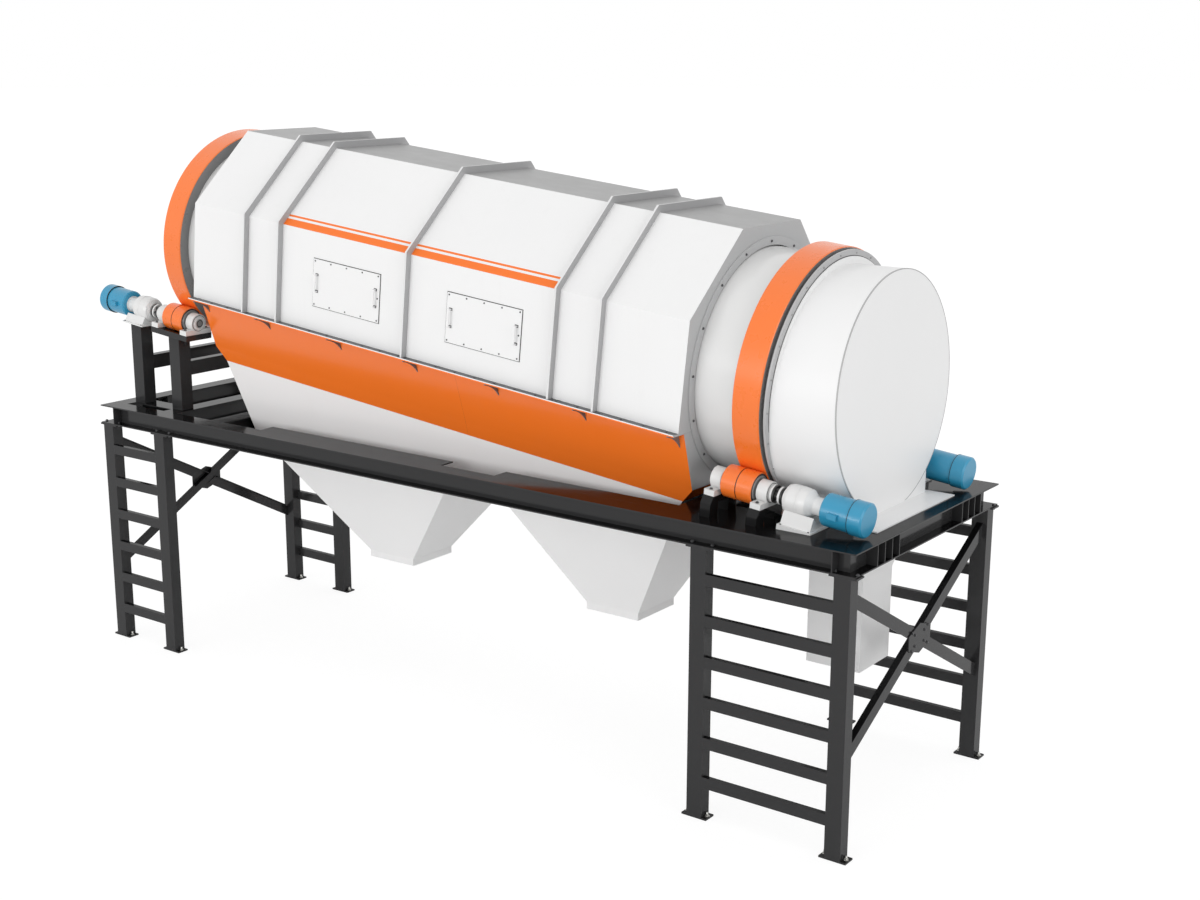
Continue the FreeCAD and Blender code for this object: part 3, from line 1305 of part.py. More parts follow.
doc.recompute()
for feature in doc.Objects:
    if "Invalid" in feature.State or "Error" in feature.State:
        raise RuntimeError(f"{feature.Label} did not build: {feature.State}")
os.makedirs("parts", exist_ok=True)
for feature in subparts:
    if feature.Shape.isNull() or not feature.Shape.isValid() or not feature.Shape.Solids:
        raise RuntimeError(f"{feature.Label} has no valid solid")
for feature in subparts:
    feature.Shape.exportStep(f"parts/{feature.Label}.step")
    solids = len(feature.Shape.Solids)
    print(f"{feature.Label}: {solids} solids, {feature.Shape.Volume / 1e6:.2f} litres")
print(f"{len(subparts)} sub-parts, origin shift {MID_X:.1f} mm")
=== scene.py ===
import math

import bmesh
import bpy
from mathutils import Matrix, Vector


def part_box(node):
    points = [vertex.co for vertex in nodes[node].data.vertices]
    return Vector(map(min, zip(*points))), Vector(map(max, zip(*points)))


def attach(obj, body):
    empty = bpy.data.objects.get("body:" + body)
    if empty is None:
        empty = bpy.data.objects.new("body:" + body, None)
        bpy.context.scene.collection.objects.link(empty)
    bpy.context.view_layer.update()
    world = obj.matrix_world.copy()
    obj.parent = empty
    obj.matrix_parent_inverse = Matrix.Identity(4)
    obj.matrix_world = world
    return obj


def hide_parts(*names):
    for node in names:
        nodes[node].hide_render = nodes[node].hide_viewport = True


# Looks of the rotary drum screen. Metres, +X towards the discharge end, -Y the front.
# Sloping parts use s along the drum axis, t across and n square to both, as in the solids.

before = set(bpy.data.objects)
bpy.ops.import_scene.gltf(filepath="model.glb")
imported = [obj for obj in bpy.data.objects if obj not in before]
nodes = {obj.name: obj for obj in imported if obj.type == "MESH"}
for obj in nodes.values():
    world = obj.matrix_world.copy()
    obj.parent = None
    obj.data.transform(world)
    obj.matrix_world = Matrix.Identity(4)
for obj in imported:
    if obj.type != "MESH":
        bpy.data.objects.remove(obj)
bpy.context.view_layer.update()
scene = bpy.context.scene

SLOPE = math.radians(5.8)
beam_low, beam_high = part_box("side_beam_front")
MID_X = (beam_low.x + beam_high.x) / 2
AXIS_HEIGHT = 4.072
FRAME_TOP, BEAM_BOTTOM = 2.63, 2.43
SLOPED = Matrix.Translation((MID_X, 0, AXIS_HEIGHT)) @ Matrix.Rotation(SLOPE, 4, "Y")
LEVEL = Matrix.Translation((MID_X, 0, 0))
ALONG = SLOPED.to_3x3() @ Vector((1, 0, 0))
NORMAL = SLOPED.to_3x3() @ Vector((0, 0, 1))

# Drives: rollers under the tyres, their housings and saddles
TYRE_RADIUS, RUNNING_GAP, ROLLER_RADIUS = 1.116, 0.0003, 0.140
ROLLER_ANGLE = math.radians(49)
REACH = TYRE_RADIUS + RUNNING_GAP + ROLLER_RADIUS
ROLLER_Y = REACH * math.sin(ROLLER_ANGLE)
ROLLER_N = -REACH * math.cos(ROLLER_ANGLE)
FEED_ROLLER, OUT_ROLLER = -3.61, 3.425
SHAFT_BORE, BEARING_OFFSET, BEARING_HALF = 0.0475, 0.225, 0.05
SHAFT_HEIGHT, SADDLE_HEIGHT, SADDLE_OFFSET = 0.120, 0.167, 0.600
# Along a drive from its roller's middle: dark rim of the disc, ends of the sleeves, driver's disc
DISC_RIM, SLEEVES_START, SLEEVES_END, DRIVER_DISC = 0.309, 0.3285, 0.3635, 0.383
SHAFT_END_RING, DRIVER_RIM, GROOVE_HALF = (0.030, 0.038), 0.035, 0.0045
BASE_N = ROLLER_N - SHAFT_HEIGHT
DRIVES = [
    (s, out, side, f"{end}_{face}")
    for s, out, end in ((FEED_ROLLER, -1, "feed"), (OUT_ROLLER, 1, "discharge"))
    for side, face in ((-1, "front"), (1, "back"))
]

# Casing: s of what stands on it, and n of its shoulder, joint and colours
RIBS = (-2.38, -1.9, -0.22, 1.52, 2.01)
ACCESS_COVERS = (-1.013, 0.697)
SHOULDER = 0.4895
LIP_LOW, LIP_HIGH = -0.495, -0.470
BAND_LOW, END_LOW = -1.19, -1.055
STRIPE_START, STRIPE_END = -1.89, 1.51
THICK_STRIPE = (SHOULDER, SHOULDER + 0.056)
THIN_STRIPE = (SHOULDER + 0.074, SHOULDER + 0.090)
TROUGH_SEAM = (0.299, 0.3015)

WHITE = (0.88, 0.88, 0.88)
# painted shade: the roof of the white cover is painted grey
ROOF_PAINTED_SHADE = (0.36, 0.36, 0.36)
GREY = (0.50, 0.505, 0.51)
ORANGE = (0.95, 0.195, 0.024)
# painted light: the band's orange is brighter than ORANGE, to make up for its sides facing down
BAND_ORANGE_PAINTED_LIGHT = (1.0, 0.205, 0.022)
BLUE = (0.028, 0.300, 0.500)
BLACK = (0.032, 0.032, 0.033)
DRIVE_WHITE = (0.78, 0.78, 0.775)
DRIVE_BLACK = (0.02, 0.02, 0.02)
# painted shadow: near black on the top of the joint lip
LIP_PAINTED_SHADOW = (0.085, 0.09, 0.095)
# painted shade: the deeper black of the frame's faces that look up
PAINTED_SHADE_BLACK = (0.004, 0.004, 0.0045)
DUST = (0.40, 0.38, 0.35)
STREAKS = (0.45, 0.44, 0.42)
SPLASHES = (0.45, 0.36, 0.28)
SEAM_RED = (0.30, 0.06, 0.02)
SCUFFED = (0.40, 0.10, 0.03)
ROLLER_SCUFFED = (0.35, 0.09, 0.03)


# Materials

COAT_ROUGHNESS, BUMP_STRENGTH, BEVEL_SAMPLES = 0.12, 0.35, 4


class Nodes:
    """Short names for building one material's nodes."""

    def __init__(self, name):
        self.material = bpy.data.materials.new(name)
        self.material.use_nodes = True
        self.tree = self.material.node_tree
        self.tree.nodes.clear()
        self.place = self.add("ShaderNodeTexCoord").outputs["Object"]

    def add(self, kind, **settings):
        node = self.tree.nodes.new(kind)
        for name, setting in settings.items():
            setattr(node, name, setting)
        return node

    def feed(self, socket, source):
        if isinstance(source, bpy.types.NodeSocket):
            self.tree.links.new(source, socket)
        else:
            socket.default_value = source

    def math(self, operation, a, b=0.0):
        node = self.add("ShaderNodeMath", operation=operation)
        for socket, source in zip(node.inputs, (a, b)):
            self.feed(socket, source)
        return node.outputs[0]

    def dot(self, a, vector):
        node = self.add("ShaderNodeVectorMath", operation="DOT_PRODUCT")
        self.feed(node.inputs[0], a)
        node.inputs[1].default_value = vector
        return node.outputs["Value"]

    def noise(self, scale, detail=3.0, roughness=0.5, stretch=None):
        node = self.add("ShaderNodeTexNoise")
        node.inputs["Scale"].default_value = scale
        node.inputs["Detail"].default_value = detail
        node.inputs["Roughness"].default_value = roughness
        place = self.place
        if stretch:
            mapping = self.add("ShaderNodeMapping")
            self.feed(mapping.inputs["Vector"], place)
            mapping.inputs["Rotation"].default_value = (0, SLOPE, 0)
            mapping.inputs["Scale"].default_value = stretch
            place = mapping.outputs[0]
        self.feed(node.inputs["Vector"], place)
        return node.outputs[0]

    def spread(self, value, low, high, new_low, new_high):
        node = self.add("ShaderNodeMapRange")
        self.feed(node.inputs[0], value)
        for i, number in enumerate((low, high, new_low, new_high), 1):
            node.inputs[i].default_value = number
        return node.outputs[0]

    def mix(self, factor, a, b, blend="MIX"):
        node = self.add("ShaderNodeMix", data_type="RGBA", blend_type=blend)
        colours = [s for s in node.inputs if s.type == "RGBA"]
        self.feed(node.inputs[0], factor)
        for socket, source in zip(colours, (a, b)):
            self.feed(socket, source if isinstance(source, bpy.types.NodeSocket) else (*source, 1))
        return next(s for s in node.outputs if s.type == "RGBA")

    def patchy(self, scale, low, high):
        """A value that wanders between low and high over the surface."""
        return self.spread(self.noise(scale, 5, 0.6), 0.3, 0.7, low, high)

    def between(self, value, low, high):
        """1 where value lies between low and high."""
        above = self.math("GREATER_THAN", value, low)
        return self.math("MULTIPLY", above, self.math("LESS_THAN", value, high))

    def sloped(self):
        """Distances along the drum axis, across it and above it."""
        shifted = self.add("ShaderNodeVectorMath", operation="SUBTRACT")
        self.feed(shifted.inputs[0], self.place)
        shifted.inputs[1].default_value = (MID_X, 0, AXIS_HEIGHT)
        source = shifted.outputs[0]
        return self.dot(source, ALONG), self.dot(source, (0, 1, 0)), self.dot(source, NORMAL)

    def from_roller(self):
        """Distance along the drum axis, and from the nearest roller's centre line."""
        s, t, n = self.sloped()
        across = self.math("SUBTRACT", self.math("ABSOLUTE", t), ROLLER_Y)
        above = self.math("SUBTRACT", n, ROLLER_N)
        squares = self.math("ADD", self.math("POWER", across, 2.0), self.math("POWER", above, 2.0))
        return s, self.math("SQRT", squares)

    def past_roller(self, s):
        """Distance from the roller's middle along its drive."""
        feed = self.math("SUBTRACT", FEED_ROLLER, s)
        return self.math("MAXIMUM", feed, self.math("SUBTRACT", s, OUT_ROLLER))

    def facing(self, direction):
        return self.dot(self.add("ShaderNodeNewGeometry").outputs["Normal"], direction)

    def axial(self, limit):
        """1 on the faces that look along the drum axis."""
        return self.math("GREATER_THAN", self.math("ABSOLUTE", self.facing(ALONG)), limit)

    def finish(
        self, colour, roughness, bump, metallic=0.0, coat=0.0, bump_distance=0.001, soft_edge=0.0,
        gloss=0.5,
    ):
        """Close the material with one shader, a fine bump and eased edges."""
        shader = self.add("ShaderNodeBsdfPrincipled")
        self.feed(shader.inputs["Base Color"], colour)
        self.feed(shader.inputs["Roughness"], roughness)
        self.feed(shader.inputs["Metallic"], metallic)
        self.feed(shader.inputs["Specular IOR Level"], gloss)
        shader.inputs["Coat Weight"].default_value = coat
        shader.inputs["Coat Roughness"].default_value = COAT_ROUGHNESS
        node = self.add("ShaderNodeBump")
        node.inputs["Strength"].default_value = BUMP_STRENGTH
        node.inputs["Distance"].default_value = bump_distance
        self.feed(node.inputs["Height"], bump)
        if soft_edge:
            bevel = self.add("ShaderNodeBevel", samples=BEVEL_SAMPLES)
            bevel.inputs["Radius"].default_value = soft_edge
            self.feed(node.inputs["Normal"], bevel.outputs[0])
        self.feed(shader.inputs["Normal"], node.outputs[0])
        output = self.add("ShaderNodeOutputMaterial")
        self.feed(output.inputs[0], shader.outputs[0])
        return self.material

    def edges(self, radius):
        """1 along the edges, 0 on the faces."""
        bevel = self.add("ShaderNodeBevel", samples=BEVEL_SAMPLES)
        bevel.inputs["Radius"].default_value = radius
        flat = self.add("ShaderNodeNewGeometry").outputs["Normal"]
        node = self.add("ShaderNodeVectorMath", operation="DOT_PRODUCT")
        self.feed(node.inputs[0], bevel.outputs[0])
        self.feed(node.inputs[1], flat)
        return self.spread(node.outputs["Value"], 0.98, 0.80, 0.0, 1.0)


def aged(m, colour, dust=0.05, wear=0.25, wear_colour=(0.30, 0.30, 0.30), edge=0.006):
    """Base colour with slight unevenness, dust on what faces up and worn edges."""
    uneven = m.spread(m.noise(0.9, 4), 0.3, 0.7, 0.988, 1.008)
    shade = m.add("ShaderNodeVectorMath", operation="SCALE")
    linked = isinstance(colour, bpy.types.NodeSocket)
    m.feed(shade.inputs[0], colour if linked else Vector(colour))
    m.feed(shade.inputs["Scale"], uneven)
    result = shade.outputs[0]
    up = m.spread(m.facing((0, 0, 1)), 0.5, 1.0, 0.0, dust)
    patches = m.spread(m.noise(3.5, 6, 0.62), 0.35, 0.70, 0.2, 1.0)
    result = m.mix(m.math("MULTIPLY", up, patches), result, DUST)
    if wear:
        rubbed = m.spread(m.noise(14, 5, 0.7), 0.48, 0.66, 0.0, wear)
        result = m.mix(m.math("MULTIPLY", m.edges(edge), rubbed), result, wear_colour)
    return result


def paint(name, colour, roughness=0.28, coat=0.35, soft_edge=0.004, gloss=0.5, **ageing):
    """One colour of sprayed paint."""
    m = Nodes(name)
    rough = m.patchy(5.5, roughness - 0.01, roughness + 0.025)
    look = aged(m, colour, **ageing)
    return m.finish(look, rough, m.noise(90, 2), 0.0, coat, 0.00012, soft_edge, gloss)


def frame_paint_and_shade(name, dust, sides=BLACK, gloss=0.30):
    """Gloss black with painted shade: the faces that look up are a deeper black and shine less."""
    m = Nodes(name)
    up = m.spread(m.facing((0, 0, 1)), 0.6, 0.9, 0.0, 1.0)
    # painted shade: a deeper black on the faces that look up
    colour = m.mix(up, sides, PAINTED_SHADE_BLACK)
    rough = m.patchy(5.5, 0.11, 0.17)
    look = aged(m, colour, dust=dust, wear=0.30, wear_colour=(0.16, 0.16, 0.16), edge=0.004)
    shine = m.spread(up, 0.0, 1.0, gloss, 0.07)
    return m.finish(look, rough, m.noise(130, 2), 0.0, 0.0, 0.0002, 0.003, shine)


def steel(name, colour, roughness=0.33, stretch=(1, 40, 40), **ageing):
    """Bare or plated steel with a grain."""
    m = Nodes(name)
    grain = m.noise(18, 4, 0.6, stretch)
    rough = m.spread(grain, 0.3, 0.7, roughness - 0.08, roughness + 0.12)
    tint = m.mix(m.spread(m.noise(2.2, 5), 0.3, 0.7, 0.0, 1.0), [0.86 * c for c in colour], colour)
    return m.finish(aged(m, tint, **ageing), rough, grain, 0.9, 0.0, 0.0003, 0.002)


def cover_paint_and_shade():
    """White sides, grey painted shade on the roof and ends, a painted shadow on the joint lip, and
    the double stripe above the front access covers.
    """
    m = Nodes("cover_paint_and_shade")
    s, t, n = m.sloped()
    roof = m.math("GREATER_THAN", m.facing(NORMAL), 0.9)
    ends = m.axial(0.8)
    # painted shadow: the top of the joint lip is painted near black
    lip = m.math("MULTIPLY", roof, m.between(n, LIP_LOW, LIP_HIGH))
    # painted shade: the roof and the end faces are painted grey
    colour = m.mix(ends, m.mix(roof, WHITE, ROOF_PAINTED_SHADE), GREY)
    colour = m.mix(lip, colour, LIP_PAINTED_SHADOW)
    stripes = m.math("MAXIMUM", m.between(n, *THICK_STRIPE), m.between(n, *THIN_STRIPE))
    along = m.between(s, STRIPE_START, STRIPE_END)
    on_front = m.math("MULTIPLY", m.math("LESS_THAN", t, -0.9), along)
    outside = m.math("GREATER_THAN", m.facing((0, -1, 0)), 0.3)
    stripe = m.math("MULTIPLY", m.math("MULTIPLY", stripes, on_front), outside)
    colour = m.mix(stripe, colour, ORANGE)
    runs = m.spread(m.noise(1.0, 6, 0.7, (9, 9, 0.35)), 0.55, 0.85, 0.0, 0.05)
    colour = m.mix(runs, colour, STREAKS)
    rough = m.patchy(5.5, 0.34, 0.42)
    aged_colour = aged(m, colour, dust=0.03, wear=0.0)
    return m.finish(aged_colour, rough, m.noise(90, 2), 0.0, 0.0, 0.00012, 0.002, 0.3)


def trough_paint_and_painted_light():
    """Orange on the tapered sides, painted brighter as painted light, white below them, and grey
    painted shade on the end plates.
    """
    m = Nodes("trough_paint_and_painted_light")
    s, _, n = m.sloped()
    band = m.math("GREATER_THAN", n, BAND_LOW)
    # painted light: the orange band is painted brighter than ORANGE
    colour = m.mix(band, WHITE, BAND_ORANGE_PAINTED_LIGHT)
    # painted shade: the end plates are painted grey
    ends = m.math("MULTIPLY", m.axial(0.93), m.math("GREATER_THAN", n, END_LOW))
    colour = m.mix(ends, colour, GREY)
    seam = m.math("MULTIPLY", m.between(s, *TROUGH_SEAM), band)
    colour = m.mix(m.math("MULTIPLY", seam, 0.5), colour, SEAM_RED)
    splash = m.spread(m.noise(1.6, 6, 0.65), 0.55, 0.85, 0.0, 0.04)
    colour = m.mix(splash, colour, SPLASHES)
    rough = m.patchy(4.5, 0.16, 0.22)
    aged_colour = aged(m, colour, dust=0.03, wear=0.0)
    return m.finish(aged_colour, rough, m.noise(90, 2), 0.0, 0.25, 0.00012, 0.002, 0.40)


def tyre_paint():
    """Orange with a rubbed running face and grey ends."""
    m = Nodes("tyre_paint")
    scuffs = m.spread(m.noise(7, 6, 0.7, (1, 30, 30)), 0.55, 0.80, 0.0, 0.07)
    colour = m.mix(scuffs, ORANGE, SCUFFED)
    colour = m.mix(m.axial(0.9), colour, (0.22, 0.22, 0.22))
    rough = m.patchy(9, 0.24, 0.36)
    look = aged(m, colour, dust=0.02, wear=0.0)
    return m.finish(look, rough, m.noise(150, 2), 0.0, 0.3, 0.0002)


def roller_paint_and_shade():
    """Orange with painted shade in the groove round the middle, and dark ends round the hub."""
    m = Nodes("roller_paint_and_shade")
    s, _, _ = m.sloped()
    middles = (FEED_ROLLER, OUT_ROLLER)
    # painted shade: the groove round each roller's middle is painted near black
    grooves = [m.between(s, middle - GROOVE_HALF, middle + GROOVE_HALF) for middle in middles]
    scuffs = m.spread(m.noise(7, 6, 0.7, (1, 30, 30)), 0.55, 0.80, 0.0, 0.09)
    colour = m.mix(scuffs, ORANGE, ROLLER_SCUFFED)
    dark = m.math("MAXIMUM", m.axial(0.9), m.math("MAXIMUM", *grooves))
    colour = m.mix(dark, colour, (0.03, 0.025, 0.025))
    rough = m.patchy(9, 0.24, 0.36)
    look = aged(m, colour, dust=0.02, wear=0.0)
    return m.finish(look, rough, m.noise(150, 2), 0.0, 0.3, 0.0002, 0.002)


def shaft_finish():
    """Turned steel shaft with a painted coupling disc."""
    m = Nodes("shaft_finish")
    s, radius = m.from_roller()
    disc = m.math("GREATER_THAN", radius, SHAFT_BORE)
    band = m.math("MULTIPLY", disc, m.math("GREATER_THAN", m.past_roller(s), DISC_RIM))
    grain = m.noise(18, 4, 0.6, (1, 40, 40))
    ring = m.between(radius, *SHAFT_END_RING)
    rings = m.math("MULTIPLY", ring, m.math("SUBTRACT", 1.0, disc))
    colour = m.mix(disc, m.mix(rings, (0.50, 0.50, 0.49), (0.08, 0.08, 0.08)), DRIVE_WHITE)
    colour = m.mix(band, colour, DRIVE_BLACK)
    rough = m.spread(grain, 0.3, 0.7, 0.27, 0.42)
    metal = m.spread(disc, 0.0, 1.0, 0.8, 0.0)
    look = aged(m, colour, dust=0.03, wear=0.0)
    return m.finish(look, rough, grain, metal, 0.0, 0.0003, 0.002)


def coupling_finish():
    """Dark pins between the discs, and a driver disc with a dark rim next to the reducer."""
    m = Nodes("coupling_finish")
    s, radius = m.from_roller()
    offset = m.past_roller(s)
    driver = m.math("GREATER_THAN", offset, DRIVER_DISC)
    rim = m.math("MULTIPLY", driver, m.math("GREATER_THAN", radius, DRIVER_RIM))
    dark = m.math("MAXIMUM", m.math("LESS_THAN", offset, SLEEVES_END), rim)
    colour = m.mix(dark, DRIVE_WHITE, DRIVE_BLACK)
    rough = m.patchy(9, 0.30, 0.38)
    look = aged(m, colour, dust=0.03, wear=0.0)
    return m.finish(look, rough, m.noise(90, 2), 0.0, 0.1, 0.00012, 0.002)


def rib_paint_and_shade():
    """Pale outer edge, with painted shade: a darker top and grey sides."""
    m = Nodes("rib_paint_and_shade")
    # painted shade: the top darker, the sides that look along the drum grey
    top = m.math("GREATER_THAN", m.facing(NORMAL), 0.9)
    edge = m.mix(top, (0.80, 0.80, 0.80), (0.55, 0.55, 0.55))
    colour = m.mix(m.axial(0.8), edge, (0.40, 0.40, 0.405))
    rough = m.patchy(5.5, 0.30, 0.40)
    look = aged(m, colour, dust=0.02, wear=0.15, wear_colour=(0.6, 0.6, 0.6), edge=0.003)
    return m.finish(look, rough, m.noise(130, 2), 0.0, 0.1, 0.0003, 0.002, 0.4)


def screen_steel():
    """Worn mill steel, brighter where the material slides."""
    m = Nodes("screen_steel")
    grain = m.noise(14, 5, 0.62, (1, 26, 26))
    polish = m.spread(m.noise(2.6, 5, 0.6), 0.35, 0.65, 0.0, 1.0)
    colour = m.mix(polish, (0.27, 0.26, 0.25), (0.52, 0.51, 0.50))
    rough = m.spread(grain, 0.3, 0.7, 0.28, 0.52)
    return m.finish(aged(m, colour, dust=0.10, wear=0.0), rough, grain, 0.85, 0.0, 0.0006)


CLEAN = dict(wear=0.0)
LIGHT_WEAR = dict(wear_colour=(0.45, 0.45, 0.44))
FINE_WEAR = dict(wear_colour=(0.4, 0.4, 0.4), edge=0.003)
FINE_GRAIN = (30, 30, 30)
frame_black = frame_paint_and_shade("frame_black", 0.008)
pedestal_black = frame_paint_and_shade("pedestal_black", 0.008, (0.011, 0.011, 0.0115), 0.25)
foot_paint = frame_paint_and_shade("foot_black", 0.05)
casing_white = paint("casing_white", WHITE, 0.33, 0.0, 0.0, 0.38, dust=0.02, **CLEAN)
handle_white = paint(
    "handle_white", WHITE, 0.30, 0.2, 0.002, wear=0.25, dust=0.03, edge=0.002, **LIGHT_WEAR
)
casing_grey = paint("casing_grey", GREY, 0.32, 0.2, 0.003, wear=0.2, edge=0.004)
bracket_grey = paint("bracket_grey", (0.17, 0.18, 0.185), 0.35, 0.1, 0.002, wear=0.2, **FINE_WEAR)
flange_grey = paint("flange_grey", (0.47, 0.47, 0.475), 0.34, 0.1, 0.002, wear=0.15, **FINE_WEAR)
seam_grey = paint("seam_grey", (0.44, 0.44, 0.44), 0.40, 0.0, 0.0, dust=0.03, **CLEAN)
rubber = paint("coupling_rubber", (0.015, 0.015, 0.016), 0.65, 0.0, dust=0.08, **CLEAN)
drum_paint = paint("drum_paint", (0.80, 0.80, 0.795), 0.20, 0.5, 0.0, dust=0.02, **CLEAN)
drive_white = paint("drive_white", DRIVE_WHITE, 0.34, 0.15, wear=0.25, dust=0.05, **LIGHT_WEAR)
drive_blue = paint("drive_blue", BLUE, 0.30, 0.25, wear=0.2, dust=0.03, **LIGHT_WEAR)
hub_grey = steel("hub_grey", (0.40, 0.40, 0.40), 0.40, FINE_GRAIN, **CLEAN)
zinc = steel("zinc_plated", (0.60, 0.60, 0.57), 0.30, FINE_GRAIN, **CLEAN)
dark_bolt = steel("dark_bolts", (0.13, 0.13, 0.135), 0.38, FINE_GRAIN, **CLEAN)
rib_shade_grey = rib_paint_and_shade()
tyre_orange = tyre_paint()
roller_orange = roller_paint_and_shade()
shaft_steel = shaft_finish()
coupling_paint = coupling_finish()
screen_metal = screen_steel()
cover_finish_and_shade = cover_paint_and_shade()
trough_finish_and_painted_light = trough_paint_and_painted_light()

FINISHES = {
    frame_black: (
        "side_beam_front", "side_beam_back", "end_beam_feed", "end_beam_discharge",
        "cross_beams", "feed_stringers", "web_stiffeners", "support_ledges", "drive_decks",
        "casing_seat_plate", "frame_legs", "ladder_rungs", "cross_braces", "brace_gussets",
        "feed_posts", "post_ties", "bearing_bases",
    ),
    pedestal_black: ("bearing_pedestals",),
    foot_paint: ("base_plates", "cap_plates"),
    casing_white: (
        "outlet_hopper_feed", "outlet_hopper_discharge", "discharge_hood", "hood_end_plate",
        "hood_base", "hood_ring", "oversize_chute", "access_cover_feed", "access_cover_discharge",
    ),
    casing_grey: ("seal_rings",),
    rib_shade_grey: ("cover_ribs",),
    bracket_grey: ("joint_gussets",),
    drive_white: ("bearing_housings", "gear_reducers", "reducer_saddles"),
    drive_blue: ("drive_motors", "motor_cowls", "junction_boxes"),
    handle_white: ("cover_handles",),
    tyre_orange: ("tyre_feed", "tyre_discharge"),
    drum_paint: ("drum_feed_shell", "drum_discharge_shell"),
    screen_metal: ("drum_screen", "drum_flight"),
    cover_finish_and_shade: ("upper_cover",),
    trough_finish_and_painted_light: ("lower_casing",),
}


def set_finish(thing, material):
    thing.data.materials.clear()
    thing.data.materials.append(material)


for material, names in FINISHES.items():
    for name in names:
        set_finish(nodes[name], material)
for _, _, _, name in DRIVES:
    set_finish(nodes[f"roller_{name}"], roller_orange)
    set_finish(nodes[f"roller_shaft_{name}"], shaft_steel)
    set_finish(nodes[f"pin_coupling_{name}"], coupling_paint)


# Mesh pieces


def turned(bm, profile, place, steps=32):
    """Turn (radius, height) points about the place's Z axis; closed where the radius is 0."""
    rings = []
    for radius, height in profile:
        if radius < 1e-6:
            rings.append([bm.verts.new(place @ Vector((0, 0, height)))])
            continue
        ring = []
        for i in range(steps):
            angle = math.tau * i / steps
            point = Vector((radius * math.cos(angle), radius * math.sin(angle), height))
            ring.append(bm.verts.new(place @ point))
        rings.append(ring)
    for low, high in zip(rings, rings[1:]):
        for i in range(steps):
            j = (i + 1) % steps
            lower = (low[i % len(low)], low[j % len(low)])
            upper = (high[j % len(high)], high[i % len(high)])
            unique = list(dict.fromkeys(lower + upper))
            if len(unique) > 2:
                bm.faces.new(unique)


def loop_turned(bm, profile, place, steps=32):
    """Turn a closed (radius, height) outline, such as a ring's section."""
    turned(bm, profile + profile[:1], place, steps)


def slab(bm, low, high, place, edge=0.0):
    """A block with eased edges."""
    made = bmesh.ops.create_cube(bm, size=1.0)["verts"]
    size = Vector(high) - Vector(low)
    centre = (Vector(high) + Vector(low)) / 2
    for vert in made:
        vert.co = centre + Vector(a * b for a, b in zip(vert.co, size))
    if edge:
        sides = list({e for v in made for e in v.link_edges})
        made = bmesh.ops.bevel(bm, geom=sides, offset=edge, segments=2, affect="EDGES")["verts"]
    for vert in set(made):
        vert.co = place @ vert.co


def hexagon(radius):
    angles = [math.tau * i / 6 for i in range(6)]
    return [(radius * math.cos(angle), radius * math.sin(angle)) for angle in angles]


# A bolt's proportions to its size, which is the head's middle to one of its corners
WASHER_WIDE, WASHER_THICK, HEAD_HIGH, CHAMFER_HIGH, CHAMFER_IN = 1.25, 0.22, 0.75, 0.12, 0.86


def bolt(bm, place, size, washer=True):
    """Hexagon head on a washer, standing along the place's Z axis."""
    thick = 0.0
    if washer:
        thick, wide = WASHER_THICK * size, WASHER_WIDE * size
        turned(bm, [(0, 0), (wide, 0), (wide, thick), (0, thick)], place, 16)
    top = thick + HEAD_HIGH * size
    outline = hexagon(size)
    low = [bm.verts.new(place @ Vector((x, y, thick))) for x, y in outline]
    mid = [bm.verts.new(place @ Vector((x, y, top - CHAMFER_HIGH * size))) for x, y in outline]
    high = [bm.verts.new(place @ Vector((CHAMFER_IN * x, CHAMFER_IN * y, top))) for x, y in outline]
    bm.faces.new(low[::-1])
    bm.faces.new(high)
    for a, b in ((low, mid), (mid, high)):
        for i in range(6):
            j = (i + 1) % 6
            bm.faces.new([a[i], a[j], b[j], b[i]])


def piece(name, bm, body, material, smooth=35):
    """Turn a mesh into a named piece that rides on a body."""
    bmesh.ops.recalc_face_normals(bm, faces=bm.faces)
    mesh = bpy.data.meshes.new(name)
    bm.to_mesh(mesh)
    bm.free()
    thing = bpy.data.objects.new(name, mesh)
    scene.collection.objects.link(thing)
    mesh.materials.append(material)
    for polygon in mesh.polygons:
        polygon.use_smooth = True
    mesh.set_sharp_from_angle(angle=math.radians(smooth))
    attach(thing, body)
    return thing


def facing(direction, point, base=SLOPED):
    """A place at a point whose Z axis looks along a direction, both given in the base."""
    turn = Vector(direction).to_track_quat("Z", "Y").to_matrix().to_4x4()
    return base @ Matrix.Translation(point) @ turn


FRONT, UP, DOWN = (0, -1, 0), (0, 0, 1), (0, 0, -1)
FORTH, AFT = (1, 0, 0), (-1, 0, 0)


def bolts(name, places, size, body, material, washer=True):
    bm = bmesh.new()
    for place in places:
        bolt(bm, place, size, washer)
    return piece(name, bm, body, material)


COVER_BOLT, PIN_NUT, LIP_BOLT, SEAL_BOLT = 0.0065, 0.0075, 0.009, 0.010
GUSSET_BOLT, HOUSING_BOLT, CAP_BOLT, ANCHOR_NUT = 0.0115, 0.013, 0.014, 0.017

# Bolts of the casing

SEAL_BOLTS, SEAL_BOLT_RADIUS, SEAL_FEED, SEAL_OUT = 16, 1.045, -3.18, 2.88
ring_places = []
for start, direction in ((SEAL_FEED, AFT), (SEAL_OUT, FORTH)):
    for i in range(SEAL_BOLTS):
        angle = math.tau * i / SEAL_BOLTS
        across, above = SEAL_BOLT_RADIUS * math.sin(angle), SEAL_BOLT_RADIUS * math.cos(angle)
        ring_places.append(facing(direction, (start, across, above)))
bolts("seal_ring_bolts", ring_places, SEAL_BOLT, "frame", dark_bolt)

